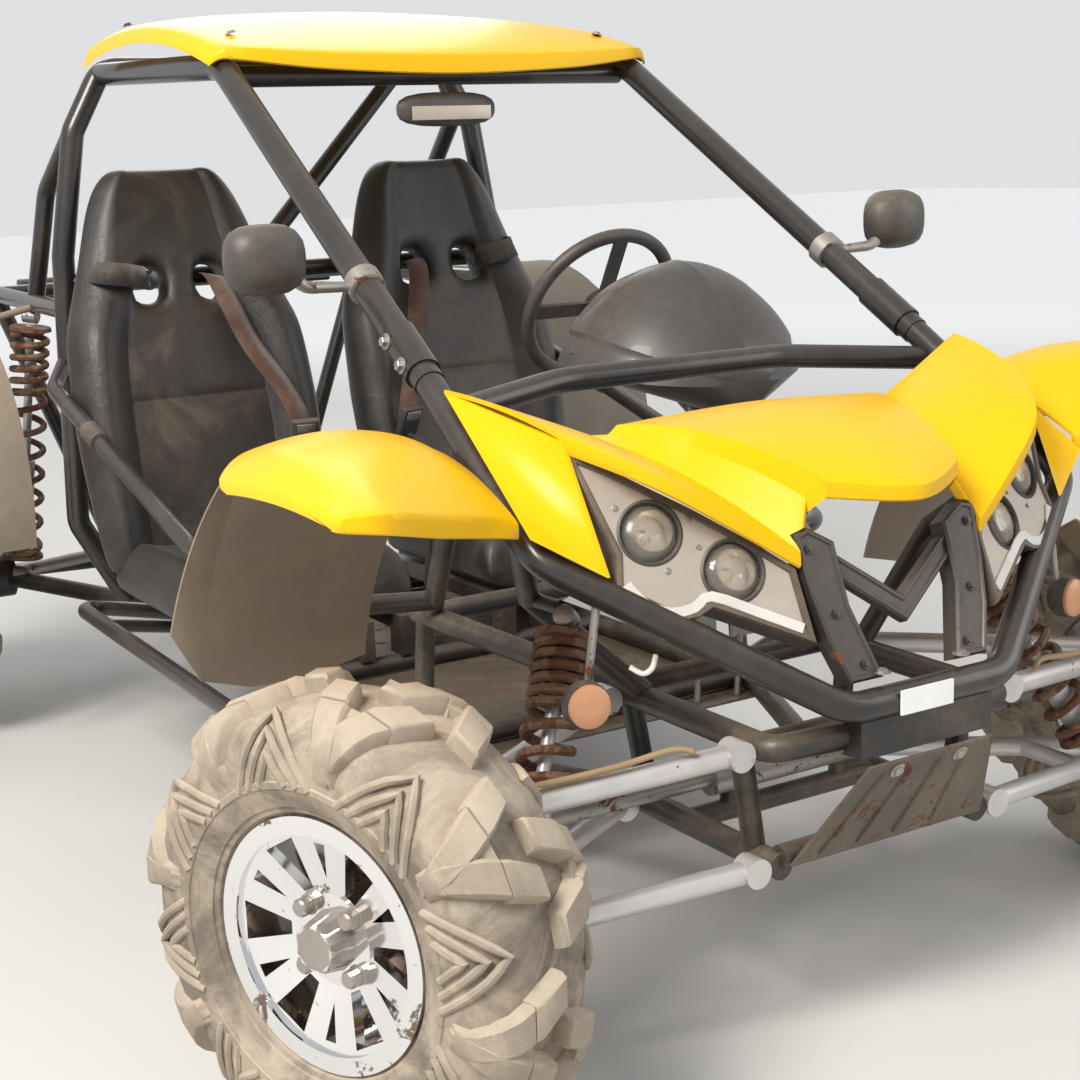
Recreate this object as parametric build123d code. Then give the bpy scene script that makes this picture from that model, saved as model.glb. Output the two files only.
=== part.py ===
# Dune buggy: an open two-seat off-road vehicle with a round-tube cage, a moulded nose, roof and
# fenders, wishbone front suspension and wide lugged tyres.
# Millimetres. The origin is on the ground under the middle of the vehicle, +Z up, -Y to the front,
# +X to the vehicle's left, where the driver sits. The front wheels stand steered to the left.
from build123d import *
from math import cos, degrees, pi, radians, sin
import os

os.makedirs("parts", exist_ok=True)

# Driving dimensions: running gear
WHEELBASE = 2300
AXLE_HEIGHT = 330
KINGPIN_X = 722
KINGPIN_Y = -1153
WHEEL_OFFSET = 90
REST_STEER = 21.24
TYRE_RADIUS = 330
TREAD_RADIUS = 308
TYRE_HALF_WIDTH = 115
REAR_TYRE_HALF_WIDTH = 122
REAR_WHEEL_X = 812
RIM_SEAT_RADIUS = 152
RIM_FLANGE_RADIUS = 170
RIM_HALF_WIDTH = 84
RIM_WALL = 6
FLANGE_THICKNESS = 8
SPOKES = 6
LUG_NUTS = 4
LUG_NUT_CIRCLE = 55
LUGS_PER_SIDE = 16
LUG_WIDTH = 42
LUG_SLANT = 24
DISC_RADIUS = 112
DISC_THICKNESS = 8
BALL_HEIGHT = 90
BALL_HOUSING = 38
ARM_TUBE = 34
ARM_PIVOT_FRONT_Y = -1265
ARM_PIVOT_REAR_Y = -940
UPPER_ARM_PIVOT_X = 262
UPPER_ARM_PIVOT_Z = 465
LOWER_ARM_PIVOT_X = 235
LOWER_ARM_PIVOT_Z = 286
ARM_EYE = 44
SKID_CROSS_Y = -1274
STEER_ARM = 108
RACK_Z = 342.3
RACK_HOUSING = 52
RACK_BAR = 24
AXLE_DIAMETER = 40

# Driving dimensions: frame and cage
FRAME_TUBE = 40
CAGE_TUBE = 48
NOSE_TUBE = 44
DASH_TUBE = 40
SIDE_TUBE = 34
SEAT_GAP = 0.3
FLOOR_Z = 286
HOOP_Y = 705
HOOP_TOP_Z = 1490
HARNESS_Z = 1042
REAR_RAIL_Z = 985
SILL_Z = 350
SEAT_BASE_Z = 385

# Driving dimensions: panels
SKIN = 7
ROOF_THICKNESS = 6
FLAP = 5
REAR_FENDER_WIDTH = 280
LENS_RADIUS = 42

# Driving dimensions: cabin
SEAT_X = 320
SEAT_BACK_LEAN = 14
WHEEL_RING_RADIUS = 165
WHEEL_RING_TUBE = 28
COLUMN_LEAN = 30
COLUMN_DIAMETER = 28

rear_axle_y = KINGPIN_Y + WHEELBASE


def save(node, *solids):
    """Write one node. Solids that meet are fused, and the others stay apart in the same node."""
    body = Part() + [solid for solid in solids]
    export_step(body, f"parts/{node}.step")
    return body


def mirrored(shape):
    """The same piece on the vehicle's other side."""
    return mirror(shape, about=Plane.YZ)


def rod(start, end, diameter):
    """A straight round tube with closed ends."""
    start = Vector(*start)
    along = Vector(*end) - start
    return Solid.make_cylinder(diameter / 2, along.length, Plane(origin=start, z_dir=along))


def bent_tube(points, diameter, bend):
    """A round tube with closed ends, bent to one radius at each corner."""
    pieces = []
    for edge in FilletPolyline(*points, radius=bend).edges():
        if edge.geom_type == GeomType.LINE:
            pieces.append(rod(edge @ 0, edge @ 1, diameter))
        else:
            centre = edge.arc_center
            turn = Axis(centre, ((edge @ 0) - centre).cross(edge % 0))
            section = Plane(origin=edge @ 0, z_dir=edge % 0) * Circle(diameter / 2)
            angle = degrees(edge.length / edge.radius)
            pieces.append(revolve(section, axis=turn, revolution_arc=angle))
    return Part() + pieces


def flat_prism(plane, outline, thickness, both=False):
    """An outline drawn on a plane and extruded along the plane's normal."""
    face = make_face(Polyline(*outline, close=True))
    return extrude(plane * face, amount=thickness, both=both)


def skin_section(rear, front, bulge, lip, thickness):
    """The thin closed profile of a moulded panel in the upright plane through two points: an arch
    from the rear edge to the front edge, turned down by lip at the front."""
    rear = Vector(*rear)
    front = Vector(*front)
    run = Vector(front.X - rear.X, front.Y - rear.Y, 0)
    back = run.normalized() * -thickness
    down = Vector(0, 0, -thickness)
    crown = (rear + front) * 0.5 + Vector(0, 0, bulge)
    lip_end = front + Vector(0, 0, -lip)
    edges = [
        ThreePointArc(rear, crown, front),
        Line(front, lip_end),
        Line(lip_end, lip_end + back),
        Line(lip_end + back, front + back + down),
        ThreePointArc(front + back + down, crown + down, rear + down),
        Line(rear + down, rear),
    ]
    return make_face(edges)


def skin(sections, thickness):
    """A moulded panel through a table of sections: rear point, front point, bulge and lip."""
    faces = [skin_section(rear, front, bulge, lip, thickness) for rear, front, bulge, lip in sections]
    return loft(faces, ruled=True)


# Wheels and tyres. Each is made with its axis along +X, its outer face towards +X and its centre
# at the origin, and is then placed on the vehicle.
def tyre_carcass(half_width):
    """The ring of a tyre, flat between the lugs: bead, bulged side wall, shoulder and tread base."""
    bead_x = RIM_HALF_WIDTH - FLANGE_THICKNESS - SEAT_GAP
    outer = [
        (bead_x - 4, RIM_SEAT_RADIUS + 3),
        (bead_x, RIM_FLANGE_RADIUS + 2),
        (half_width - 6, RIM_FLANGE_RADIUS + 50),
        (half_width - 6, TREAD_RADIUS - 56),
        (half_width - 40, TREAD_RADIUS - 4),
    ]
    outline = outer + [(-x, r) for x, r in reversed(outer)]
    flats = 2 * LUGS_PER_SIDE
    turns = [2 * pi * (step + 0.5) / flats for step in range(flats)]
    faces = []
    for (x0, r0), (x1, r1) in zip(outline, outline[1:] + outline[:1]):
        for here, there in zip(turns, turns[1:] + turns[:1]):
            ring = [(x0, r0, here), (x1, r1, here), (x1, r1, there), (x0, r0, there)]
            corners = [Vector(x, r * cos(turn), r * sin(turn)) for x, r, turn in ring]
            faces.append(Face(Wire.make_polygon(corners)))
    return Solid(Shell(faces))


def tyre_lug(half_width):
    """One tread lug: a bar from the crown over the rounded shoulder onto the side wall. Its crown
    corners reach the tyre's radius."""
    crown = (TYRE_RADIUS**2 - (LUG_WIDTH / 2) ** 2) ** 0.5
    profile = [
        (5, TREAD_RADIUS - 14),
        (5, crown),
        (half_width - 58, crown - 3),
        (half_width - 14, TYRE_RADIUS - 30),
        (half_width, TREAD_RADIUS - 46),
        (half_width - 12, TREAD_RADIUS - 72),
    ]
    bar = flat_prism(Plane.XZ, profile, LUG_WIDTH / 2, both=True)
    return bar.rotate(Axis.Z, LUG_SLANT)


def tyre(half_width):
    """A lugged tyre: the carcass with two staggered rows of slanted lugs."""
    lug = tyre_lug(half_width)
    other = mirror(lug, about=Plane.YZ)
    pitch = 360 / LUGS_PER_SIDE
    lugs = []
    for turn in range(LUGS_PER_SIDE):
        lugs.append(lug.rotate(Axis.X, turn * pitch))
        lugs.append(other.rotate(Axis.X, (turn + 0.5) * pitch))
    return Part() + [tyre_carcass(half_width)] + lugs


def rim(half_width):
    """An alloy wheel: a stepped barrel, a dished face of double spokes, a hub, its cap and nuts."""
    seat = RIM_SEAT_RADIUS
    flange = RIM_FLANGE_RADIUS
    barrel_outline = [
        (half_width, flange),
        (half_width, seat - RIM_WALL),
        (-half_width, seat - RIM_WALL),
        (-half_width, flange),
        (-half_width + FLANGE_THICKNESS, flange),
        (-half_width + FLANGE_THICKNESS + 4, seat),
        (half_width - FLANGE_THICKNESS - 4, seat),
        (half_width - FLANGE_THICKNESS, flange),
    ]
    barrel = revolve(make_face(Polyline(*barrel_outline, close=True)), axis=Axis.X)
    web_outline = [
        (30, 0),
        (58, 0),
        (58, 62),
        (half_width - 8, seat - RIM_WALL + 1),
        (half_width - 24, seat - RIM_WALL + 1),
        (40, 62),
        (30, 52),
    ]
    web = revolve(make_face(Polyline(*web_outline, close=True)), axis=Axis.X)
    step = 360 / SPOKES
    wide = [(70, -9), (138, -27), (138, 27), (70, 9)]
    narrow = [(84, 0), (134, -9), (134, 9)]
    axial = Plane.YZ
    for turn in range(SPOKES):
        wide_cut = extrude(axial * make_face(Polyline(*wide, close=True)), amount=half_width + 10)
        narrow_cut = extrude(axial * make_face(Polyline(*narrow, close=True)), amount=half_width + 10)
        web = web - wide_cut.rotate(Axis.X, turn * step) - narrow_cut.rotate(Axis.X, (turn + 0.5) * step)
    cap_face = Plane.YZ.offset(58) * RegularPolygon(38, 8)
    cap_tip = Plane.YZ.offset(94) * RegularPolygon(31, 8)
    cap = loft([cap_face, cap_tip], ruled=True)
    nut = extrude(Plane.YZ.offset(56) * RegularPolygon(11, 6), amount=20)
    nuts = []
    for turn in range(LUG_NUTS):
        seated = nut.moved(Location((0, LUG_NUT_CIRCLE, 0)))
        nuts.append(seated.rotate(Axis.X, 45 + turn * 360 / LUG_NUTS))
    bore = rod((0, 0, 0), (56, 0, 0), AXLE_DIAMETER + 2 * SEAT_GAP)
    return (Part() + [barrel, web, cap] + nuts) - bore


def on_knuckle(shape, side):
    """Place a wheel piece on a steered knuckle; side is +1 on the left and -1 on the right."""
    if side < 0:
        shape = mirror(shape, about=Plane.YZ)
    shape = shape.moved(Location((side * WHEEL_OFFSET, 0, 0)))
    shape = shape.rotate(Axis.Z, REST_STEER)
    return shape.moved(Location((side * KINGPIN_X, KINGPIN_Y, AXLE_HEIGHT)))


def on_rear_hub(shape, side):
    """Place a wheel piece on a rear hub."""
    if side < 0:
        shape = mirror(shape, about=Plane.YZ)
    return shape.moved(Location((side * REAR_WHEEL_X, rear_axle_y, AXLE_HEIGHT)))


front_tyre = tyre(TYRE_HALF_WIDTH)
rear_tyre = tyre(REAR_TYRE_HALF_WIDTH)
front_rim = rim(RIM_HALF_WIDTH)
rear_rim = rim(RIM_HALF_WIDTH)
disc = Plane.YZ.offset(-18) * Circle(DISC_RADIUS)
disc = extrude(disc, amount=DISC_THICKNESS)
disc_hat = extrude(Plane.YZ.offset(-18) * Circle(56), amount=48 - SEAT_GAP)
brake_disc = (Part() + [disc, disc_hat]) - rod((-20, 0, 0), (50, 0, 0), AXLE_DIAMETER + 2 * SEAT_GAP)

for side, name in ((1, "left"), (-1, "right")):
    save(f"tyre_front_{name}", on_knuckle(front_tyre, side))
    save(f"rim_front_{name}", on_knuckle(front_rim, side))
    save(f"brake_disc_front_{name}", on_knuckle(brake_disc, side))
    save(f"tyre_rear_{name}", on_rear_hub(rear_tyre, side))
    save(f"rim_rear_{name}", on_rear_hub(rear_rim, side))

# Steered knuckles: an upright between two ball joints, a stub axle, a steering arm and a caliper
upright = Box(44, 52, 2 * BALL_HEIGHT - 50)
ball_reach = BALL_HEIGHT - BALL_HOUSING / 2 - SEAT_GAP
ball_studs = rod((0, 0, -ball_reach), (0, 0, ball_reach), 24)
stub = rod((10, 0, 0), (WHEEL_OFFSET - 18 - 5, 0, 0), 56) + rod((10, 0, 0), (WHEEL_OFFSET + 52, 0, 0), AXLE_DIAMETER)
steer_arm = flat_prism(Plane.XY.offset(-14), [(-18, 10), (18, 10), (8, STEER_ARM + 14), (-26, STEER_ARM + 14)], 12)
caliper = Pos(WHEEL_OFFSET - 14, -98, 30) * Box(44, 46, 84)
rotor_slot = rod((WHEEL_OFFSET - 18 - 4, 0, 0), (WHEEL_OFFSET - 18 + DISC_THICKNESS + 4, 0, 0), 2 * DISC_RADIUS + 8)
caliper = caliper - rotor_slot
caliper_arm = flat_prism(Plane.XY.offset(20), [(-16, 0), (16, 0), (66, -84), (54, -108)], 24)
caliper_arm = caliper_arm - rotor_slot
knuckle = Part() + [upright, ball_studs, stub, steer_arm, caliper, caliper_arm]


def place_knuckle(side):
    shape = knuckle if side > 0 else mirror(knuckle, about=Plane.YZ)
    shape = shape.rotate(Axis.Z, REST_STEER)
    return shape.moved(Location((side * KINGPIN_X, KINGPIN_Y, AXLE_HEIGHT)))


for side, name in ((1, "left"), (-1, "right")):
    save(f"knuckle_{name}", place_knuckle(side))


# Front wishbones: two tubes from the frame to a ball joint housing on the kingpin axis
def wishbone(pivot_x, pivot_z, ball_z, lower):
    ball = (KINGPIN_X, KINGPIN_Y, ball_z)
    housing = rod((KINGPIN_X, KINGPIN_Y, ball_z - BALL_HOUSING / 2),
                  (KINGPIN_X, KINGPIN_Y, ball_z + BALL_HOUSING / 2), 46)
    legs = [rod((pivot_x, y, pivot_z), ball, ARM_TUBE) for y in (ARM_PIVOT_FRONT_Y, ARM_PIVOT_REAR_Y)]
    eyes = [rod((pivot_x, y - 18, pivot_z), (pivot_x, y + 18, pivot_z), ARM_EYE)
            for y in (ARM_PIVOT_FRONT_Y, ARM_PIVOT_REAR_Y)]
    bone = Part() + legs + eyes + [housing]
    if lower:
        cross_y = [KINGPIN_Y + (y - KINGPIN_Y) * 0.42 for y in (ARM_PIVOT_FRONT_Y, ARM_PIVOT_REAR_Y)]
        cross_x = KINGPIN_X + (pivot_x - KINGPIN_X) * 0.42
        cross_z = ball_z + (pivot_z - ball_z) * 0.42
        bone = bone + rod((cross_x, cross_y[0], cross_z), (cross_x, cross_y[1], cross_z), 28)
    return bone


upper_bone = wishbone(UPPER_ARM_PIVOT_X, UPPER_ARM_PIVOT_Z, AXLE_HEIGHT + BALL_HEIGHT, False)
lower_bone = wishbone(LOWER_ARM_PIVOT_X, LOWER_ARM_PIVOT_Z, AXLE_HEIGHT - BALL_HEIGHT, True)
arm_seat = [rod((LOWER_ARM_PIVOT_X, y, LOWER_ARM_PIVOT_Z), (KINGPIN_X, KINGPIN_Y, AXLE_HEIGHT - BALL_HEIGHT),
                ARM_TUBE + 2 * SEAT_GAP) for y in (ARM_PIVOT_FRONT_Y, ARM_PIVOT_REAR_Y)]
save("front_upper_arms", upper_bone, mirrored(upper_bone))
save("front_lower_arms", lower_bone, mirrored(lower_bone))

# Steering rack: a fixed housing across the frame, and a sliding bar that carries both tie rods
steer_pin_reach = STEER_ARM
rack_y = KINGPIN_Y + steer_pin_reach * cos(radians(REST_STEER))
rack_housing = rod((-150, rack_y, RACK_Z), (150, rack_y, RACK_Z), RACK_HOUSING)
rack_bore = rod((-160, rack_y, RACK_Z), (160, rack_y, RACK_Z), RACK_BAR + 2 * SEAT_GAP)
save("steering_rack", rack_housing - rack_bore)
eye_shift = -steer_pin_reach * sin(radians(REST_STEER))
eyes = [side * KINGPIN_X + eye_shift - 9 * side for side in (1, -1)]
rack_bar = rod((eyes[1], rack_y, RACK_Z), (eyes[0], rack_y, RACK_Z), RACK_BAR)
eye_solids = [rod((x, rack_y, RACK_Z - 14), (x, rack_y, RACK_Z + 14), 36) for x in eyes]
save("tie_rods", rack_bar, *eye_solids)

# Frame: bent bottom and top rails on each side, uprights and cross tubes between them
rail_inset = ARM_EYE / 2 + FRAME_TUBE / 2 + SEAT_GAP
lower_x = LOWER_ARM_PIVOT_X - rail_inset
upper_x = UPPER_ARM_PIVOT_X - rail_inset
rail_front_y = ARM_PIVOT_FRONT_Y - 15
cross_tube = FRAME_TUBE - 6
lower_rail_points = [(lower_x, rail_front_y, FLOOR_Z), (lower_x, -880, FLOOR_Z), (350, -540, FLOOR_Z),
                     (350, 620, FLOOR_Z), (250, 860, FLOOR_Z), (250, 1400, 320)]
upper_rail_points = [(100, -1334, 482), (upper_x, rail_front_y - 10, UPPER_ARM_PIVOT_Z + 4),
                     (upper_x, -910, UPPER_ARM_PIVOT_Z + 4), (330, -560, 520), (330, -470, 520)]
bumper_box = Pos(0, -1352, 482) * Box(250, 36, 54)
lower_rail = bent_tube(lower_rail_points, FRAME_TUBE, 60)
upper_rail = bent_tube(upper_rail_points, FRAME_TUBE, 30)
lower_seat = bent_tube(lower_rail_points, FRAME_TUBE + 2 * SEAT_GAP, 60)
upper_seat = bent_tube(upper_rail_points, FRAME_TUBE + 2 * SEAT_GAP, 30)
save("lower_rails", lower_rail, mirrored(lower_rail))
save("upper_rails", upper_rail, mirrored(upper_rail), bumper_box)

# Nose tube: one tube from pillar foot to pillar foot, round the front as the bumper
pillar_foot = (482, -830, 963)
nose_corner = (505, -1150, 755)
bumper_corner = (146, -1365, 532)
other_side = [(-x, y, z) for x, y, z in (bumper_corner, nose_corner, pillar_foot)]
nose_points = [pillar_foot, nose_corner, bumper_corner, *other_side]
nose_tube = bent_tube(nose_points, NOSE_TUBE, 80)
nose_seat = rod(nose_corner, pillar_foot, NOSE_TUBE + 2 * SEAT_GAP)
nose_clear = bent_tube(nose_points, NOSE_TUBE + 2 * SEAT_GAP, 80)
save("nose_tube", nose_tube)

# Rear hoop legs, the bars between them and a diagonal
hoop_points = [(450, HOOP_Y, 330), (550, HOOP_Y, 520), (532, HOOP_Y, 1100), (488, HOOP_Y, 1360),
               (415, HOOP_Y, HOOP_TOP_Z)]
hoop_points = hoop_points + [(-x, y, z) for x, y, z in reversed(hoop_points)]
hoop_seats = bent_tube(hoop_points, CAGE_TUBE + 2 * SEAT_GAP, 60)
save("cage_hoop", bent_tube(hoop_points, CAGE_TUBE, 60))
harness_bar = rod((-530, HOOP_Y, HARNESS_Z), (530, HOOP_Y, HARNESS_Z), FRAME_TUBE)
diagonal = rod((285, HOOP_Y, HOOP_TOP_Z - 20), (-545, HOOP_Y, 590), FRAME_TUBE)
save("cage_braces", (harness_bar + diagonal) - hoop_seats)

# Cage: a pillar and roof rail in one bent tube on each side, with a bolted splice sleeve
roof_corner = (438, -20, 1457)
rail_end = (415, HOOP_Y, HOOP_TOP_Z - 12)
foot_plug = rod(nose_corner, pillar_foot, CAGE_TUBE + 16)
pillar_bare = bent_tube([pillar_foot, roof_corner, rail_end], CAGE_TUBE, 150)
pillar_seat = bent_tube([pillar_foot, roof_corner, rail_end], CAGE_TUBE + 2 * SEAT_GAP, 150)
foot = Vector(*pillar_foot)
up = (Vector(*roof_corner) - foot).normalized()
sleeve = rod(tuple(foot + up * 25), tuple(foot + up * 125), CAGE_TUBE + 8)
pillar = (pillar_bare - hoop_seats - foot_plug) + sleeve
roof_front_bar = bent_tube([(-430, -5, 1440), (-200, -30, 1440), (200, -30, 1440), (430, -5, 1440)], FRAME_TUBE, 100)
save("cage_pillars", pillar, mirrored(pillar), roof_front_bar)

# Rear frame: stays from the hoop, top rails round the engine and uprights to the bottom rails
stay = bent_tube([(462, HOOP_Y, 1412), (490, 920, 1235), (510, 1010, REAR_RAIL_Z)], DASH_TUBE, 80)
rear_rail = rod((536, HOOP_Y, REAR_RAIL_Z), (500, 1400, REAR_RAIL_Z), DASH_TUBE)
rear_upright = rod((500, 1385, REAR_RAIL_Z), (255, 1385, 319), FRAME_TUBE)
rear_side = (stay + rear_rail + rear_upright) - hoop_seats - lower_seat
stay_clear = bent_tube([(462, HOOP_Y, 1412), (490, 920, 1235), (510, 1010, REAR_RAIL_Z)], DASH_TUBE + 2 * SEAT_GAP, 80)
rear_cross = rod((-500, 1385, REAR_RAIL_Z), (500, 1385, REAR_RAIL_Z), cross_tube)
rear_frame = Part() + [rear_side, mirrored(rear_side), rear_cross]
save("rear_frame", rear_frame)

# Steering column line, used by the pieces that hold the column
wheel_centre = Vector(340, -54, 976)
column_axis = Vector(0, cos(radians(COLUMN_LEAN)), sin(radians(COLUMN_LEAN)))
column_start = wheel_centre - column_axis * (30 + SEAT_GAP)
column_end = wheel_centre - column_axis * 800
column = rod(tuple(column_start), tuple(column_end), COLUMN_DIAMETER)
column_seat = rod(tuple(column_start), tuple(column_end), COLUMN_DIAMETER + 2 * SEAT_GAP)

# Dash tube and the tubes that carry the shock absorbers and the pillar feet
tower = rod((upper_x, -985, 480), (400, -955, 650), cross_tube)
tower_top = rod((400, -955, 650), (501, -1095, 790), cross_tube)
tower_knee = Pos(400, -955, 650) * Sphere(cross_tube / 2)
tower_back = rod((330, -520, 525), (489, -930, 898), cross_tube)
shock_top = (388, -1040, 648)
shock_pin = rod((400, -955, 650), shock_top, 22)


def shock(top, bottom, radius):
    """A damper between two eyes, in a sleeve that is the spring's outer size, with a seat at each end."""
    top = Vector(*top)
    bottom = Vector(*bottom)
    length = (bottom - top).length
    eye = 16
    outline = [(0, 0), (eye, 0), (eye, 40), (radius + 3, 40), (radius, 48), (radius, length - 60),
               (radius + 3, length - 52), (eye, length - 44), (eye, length), (0, length)]
    face = make_face(Polyline(*[(r, 0, z) for r, z in outline], close=True))
    body = revolve(face, axis=Axis.Z)
    return Plane(origin=top, z_dir=bottom - top) * body


front_shock = shock(shock_top, (575, -1187, 258), 43) - arm_seat
towers = (tower + tower_top + tower_knee + shock_pin) - upper_seat - nose_seat
towers = towers - Pos(*shock_top) * Sphere(20)
back_towers = tower_back - upper_seat - nose_seat
column_lug = rod((330, -641, 637), (378, -643, 637), 24) - column_seat
column_lug = column_lug - Pos(270, -641, 637) * Box(140, 80, 80)
save("shock_towers", towers, mirrored(towers), back_towers + column_lug, mirrored(back_towers))
save("front_shocks", front_shock, mirrored(front_shock))
dash_path = [(-475, -862, 920), (-221, -777, 939), (221, -777, 939), (475, -862, 920)]
dash = bent_tube(dash_path, DASH_TUBE, 200) - nose_seat - mirrored(nose_seat)
save("dash_tube", dash)

# Uprights and cross tubes of the chassis
lower_cross_spots = [(SKID_CROSS_Y, lower_x, FLOOR_Z + 14), (rack_y, lower_x, FLOOR_Z), (-500, 350, FLOOR_Z),
                     (0, 350, FLOOR_Z), (600, 350, FLOOR_Z), (1370, 250, 318)]
upper_cross_spots = [(rail_front_y + 20, upper_x, UPPER_ARM_PIVOT_Z + 4), (-910, upper_x, UPPER_ARM_PIVOT_Z + 4),
                     (-490, 330, 520)]
crosses = [rod((-x, y, z), (x, y, z), cross_tube) for y, x, z in lower_cross_spots + upper_cross_spots]
uprights = [
    rod((lower_x, rail_front_y + 60, FLOOR_Z), (upper_x, rail_front_y + 60, UPPER_ARM_PIVOT_Z), cross_tube),
    rod((lower_x, -960, FLOOR_Z), (upper_x, -950, UPPER_ARM_PIVOT_Z), cross_tube),
    rod((350, -500, FLOOR_Z), (332, -500, 520), cross_tube),
    rod((110, rack_y, FLOOR_Z), (110, rack_y, RACK_Z), cross_tube - 6),
]
rack_seat = rod((-160, rack_y, RACK_Z), (160, rack_y, RACK_Z), RACK_HOUSING + 2 * SEAT_GAP)
frame_seats = Part() + [lower_seat, upper_seat]
tubes = Part() + crosses + uprights + [mirrored(tube) for tube in uprights]
save("cross_tubes", tubes - frame_seats - mirrored(frame_seats) - rack_seat)

# Floor pan and the rails that carry the seats
floor_pan = Pos(0, 20, FLOOR_Z - FRAME_TUBE / 2 - 2.3) * Box(700, 1180, 4)
save("floor_pan", floor_pan)
seat_rail_top = SEAT_BASE_Z - SEAT_GAP
seat_rail_foot = FLOOR_Z + cross_tube / 2 + SEAT_GAP
seat_rail = Pos(0, 300, (seat_rail_top + seat_rail_foot) / 2) * Box(30, 640, seat_rail_top - seat_rail_foot)
seat_rail = seat_rail - Pos(0, 300, seat_rail_foot + 20) * Box(40, 540, 60)
save("seat_rails", *[Pos(side * (SEAT_X + shift), 0, 0) * seat_rail for side in (1, -1) for shift in (-110, -200)])

# Sill bar on each side, with the stubs that hold it to the bottom rail, and the side bar above
sill = bent_tube([(370, 600, 305), (590, 630, SILL_Z), (618, -330, SILL_Z), (570, -440, SILL_Z), (370, -480, 305)],
                 SIDE_TUBE, 60)
stub = rod((355, 430, 305), (596, 430, SILL_Z), SIDE_TUBE - 6)
sill = (sill + stub) - lower_seat
save("sill_bars", sill, mirrored(sill))
side_bar = bent_tube([(548, HOOP_Y, 874), (606, 610, 830), (606, -130, 615), (540, -520, 570), (345, -560, 560)],
                     SIDE_TUBE, 80)
side_bar = side_bar - hoop_seats - upper_seat - rod((330, -520, 525), (489, -930, 898), cross_tube + 2 * SEAT_GAP)
save("side_bars", side_bar, mirrored(side_bar))

# Rear suspension: trailing arms, hubs, half shafts and the engine with its exhaust
hub = rod((590, rear_axle_y, AXLE_HEIGHT), (REAR_WHEEL_X - 60, rear_axle_y, AXLE_HEIGHT), 110)
hub = hub + rod((590, rear_axle_y, AXLE_HEIGHT), (REAR_WHEEL_X + 52, rear_axle_y, AXLE_HEIGHT), AXLE_DIAMETER)
rear_arm = rod((350, 640, 300), (600, 1110, 325), FRAME_TUBE) + rod((255, 1230, 305), (600, 1190, 325), cross_tube)
rear_arm = (rear_arm + hub) - lower_seat
save("rear_arms", rear_arm, mirrored(rear_arm))
hub_seat = rod((590 - SEAT_GAP, rear_axle_y, AXLE_HEIGHT), (700, rear_axle_y, AXLE_HEIGHT), 120)
engine = Pos(0, 1060, 500) * Box(400, 400, 330)
half_shaft = rod((201, rear_axle_y, 355), (600, rear_axle_y, AXLE_HEIGHT), 30) - hub_seat
save("half_shafts", half_shaft, mirrored(half_shaft))
save("engine", engine)
muffler = rod((-180, 1325, 640), (180, 1325, 640), 120)
tail_pipe = rod((130, 1325, 640), (130, 1475, 660), 45)
header = rod((120, 1255, 560), (120, 1325, 620), 40) - engine
save("exhaust", muffler + tail_pipe + header)
rear_bumper = bent_tube([(320, 1385, 470), (320, 1505, 470), (-320, 1505, 470), (-320, 1385, 470)], FRAME_TUBE, 60)
upright_seat = rod((500, 1385, REAR_RAIL_Z), (255, 1385, 319), FRAME_TUBE + 2 * SEAT_GAP)
tow_plate = Pos(0, 1490, 425) * Box(12, 64, 70) - rod((-10, 1490, 418), (10, 1490, 418), 22)
save("rear_bumper", (rear_bumper - upright_seat - mirrored(upright_seat)) + tow_plate)
rear_shock = shock((520, 1020, REAR_RAIL_Z - 20.6), (583, 1080, 330), 46)
rear_shock = rear_shock - rod((536, HOOP_Y, REAR_RAIL_Z), (500, 1400, REAR_RAIL_Z), DASH_TUBE + 2 * SEAT_GAP)
rear_shock = rear_shock - rod((350, 640, 300), (600, 1110, 325), FRAME_TUBE + 2 * SEAT_GAP)
save("rear_shocks", rear_shock, mirrored(rear_shock))

# Skid plate and grille guard in front
skid_normal = Vector(0, -0.87, -0.49)
skid_plane = Plane(origin=(0, -1334, 371), x_dir=(1, 0, 0), z_dir=skid_normal)
skid_plate = flat_prism(skid_plane, [(-117, 88), (117, 88), (185, -92), (-185, -92)], 5)
save("skid_plate", skid_plate)
post = flat_prism(Plane.XZ.offset(1330), [(128, 770), (168, 775), (140, 650), (118, 566), (86, 566), (104, 650)], 44)
vee = flat_prism(Plane.XZ.offset(1320), [(-130, 725), (0, 662), (130, 725), (130, 690), (0, 630), (-130, 690)], 30)
base_plate = Pos(0, -1345, 562.2) * Box(240, 60, 16) - nose_tube
save("grille_guard", post, mirrored(post), vee, base_plate)

# Roof: a domed moulded panel with a turned-down lip, notched round the pillars
roof_table = [
    ((0, 655, 1574), (0, -104, 1474), 52, 36),
    ((250, 655, 1566), (250, -98, 1478), 48, 31),
    ((400, 652, 1548), (400, -80, 1486), 42, 24),
    ((452, 648, 1530), (452, -60, 1486), 40, 18),
    ((474, 640, 1494), (474, -45, 1464), 46, 8),
]
roof_half = skin(roof_table, ROOF_THICKNESS)
roof_notch = bent_tube([pillar_foot, roof_corner, rail_end], CAGE_TUBE + 0.8, 150)
roof_bosses = [rod((x, y, 1465), (x, y, top), 22) for x, y, top in ((432, 150, 1531), (422, 500, 1549))]
roof_half = (roof_half + roof_bosses) - roof_notch
roof = roof_half + mirrored(roof_half)
save("roof_panel", roof)

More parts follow.
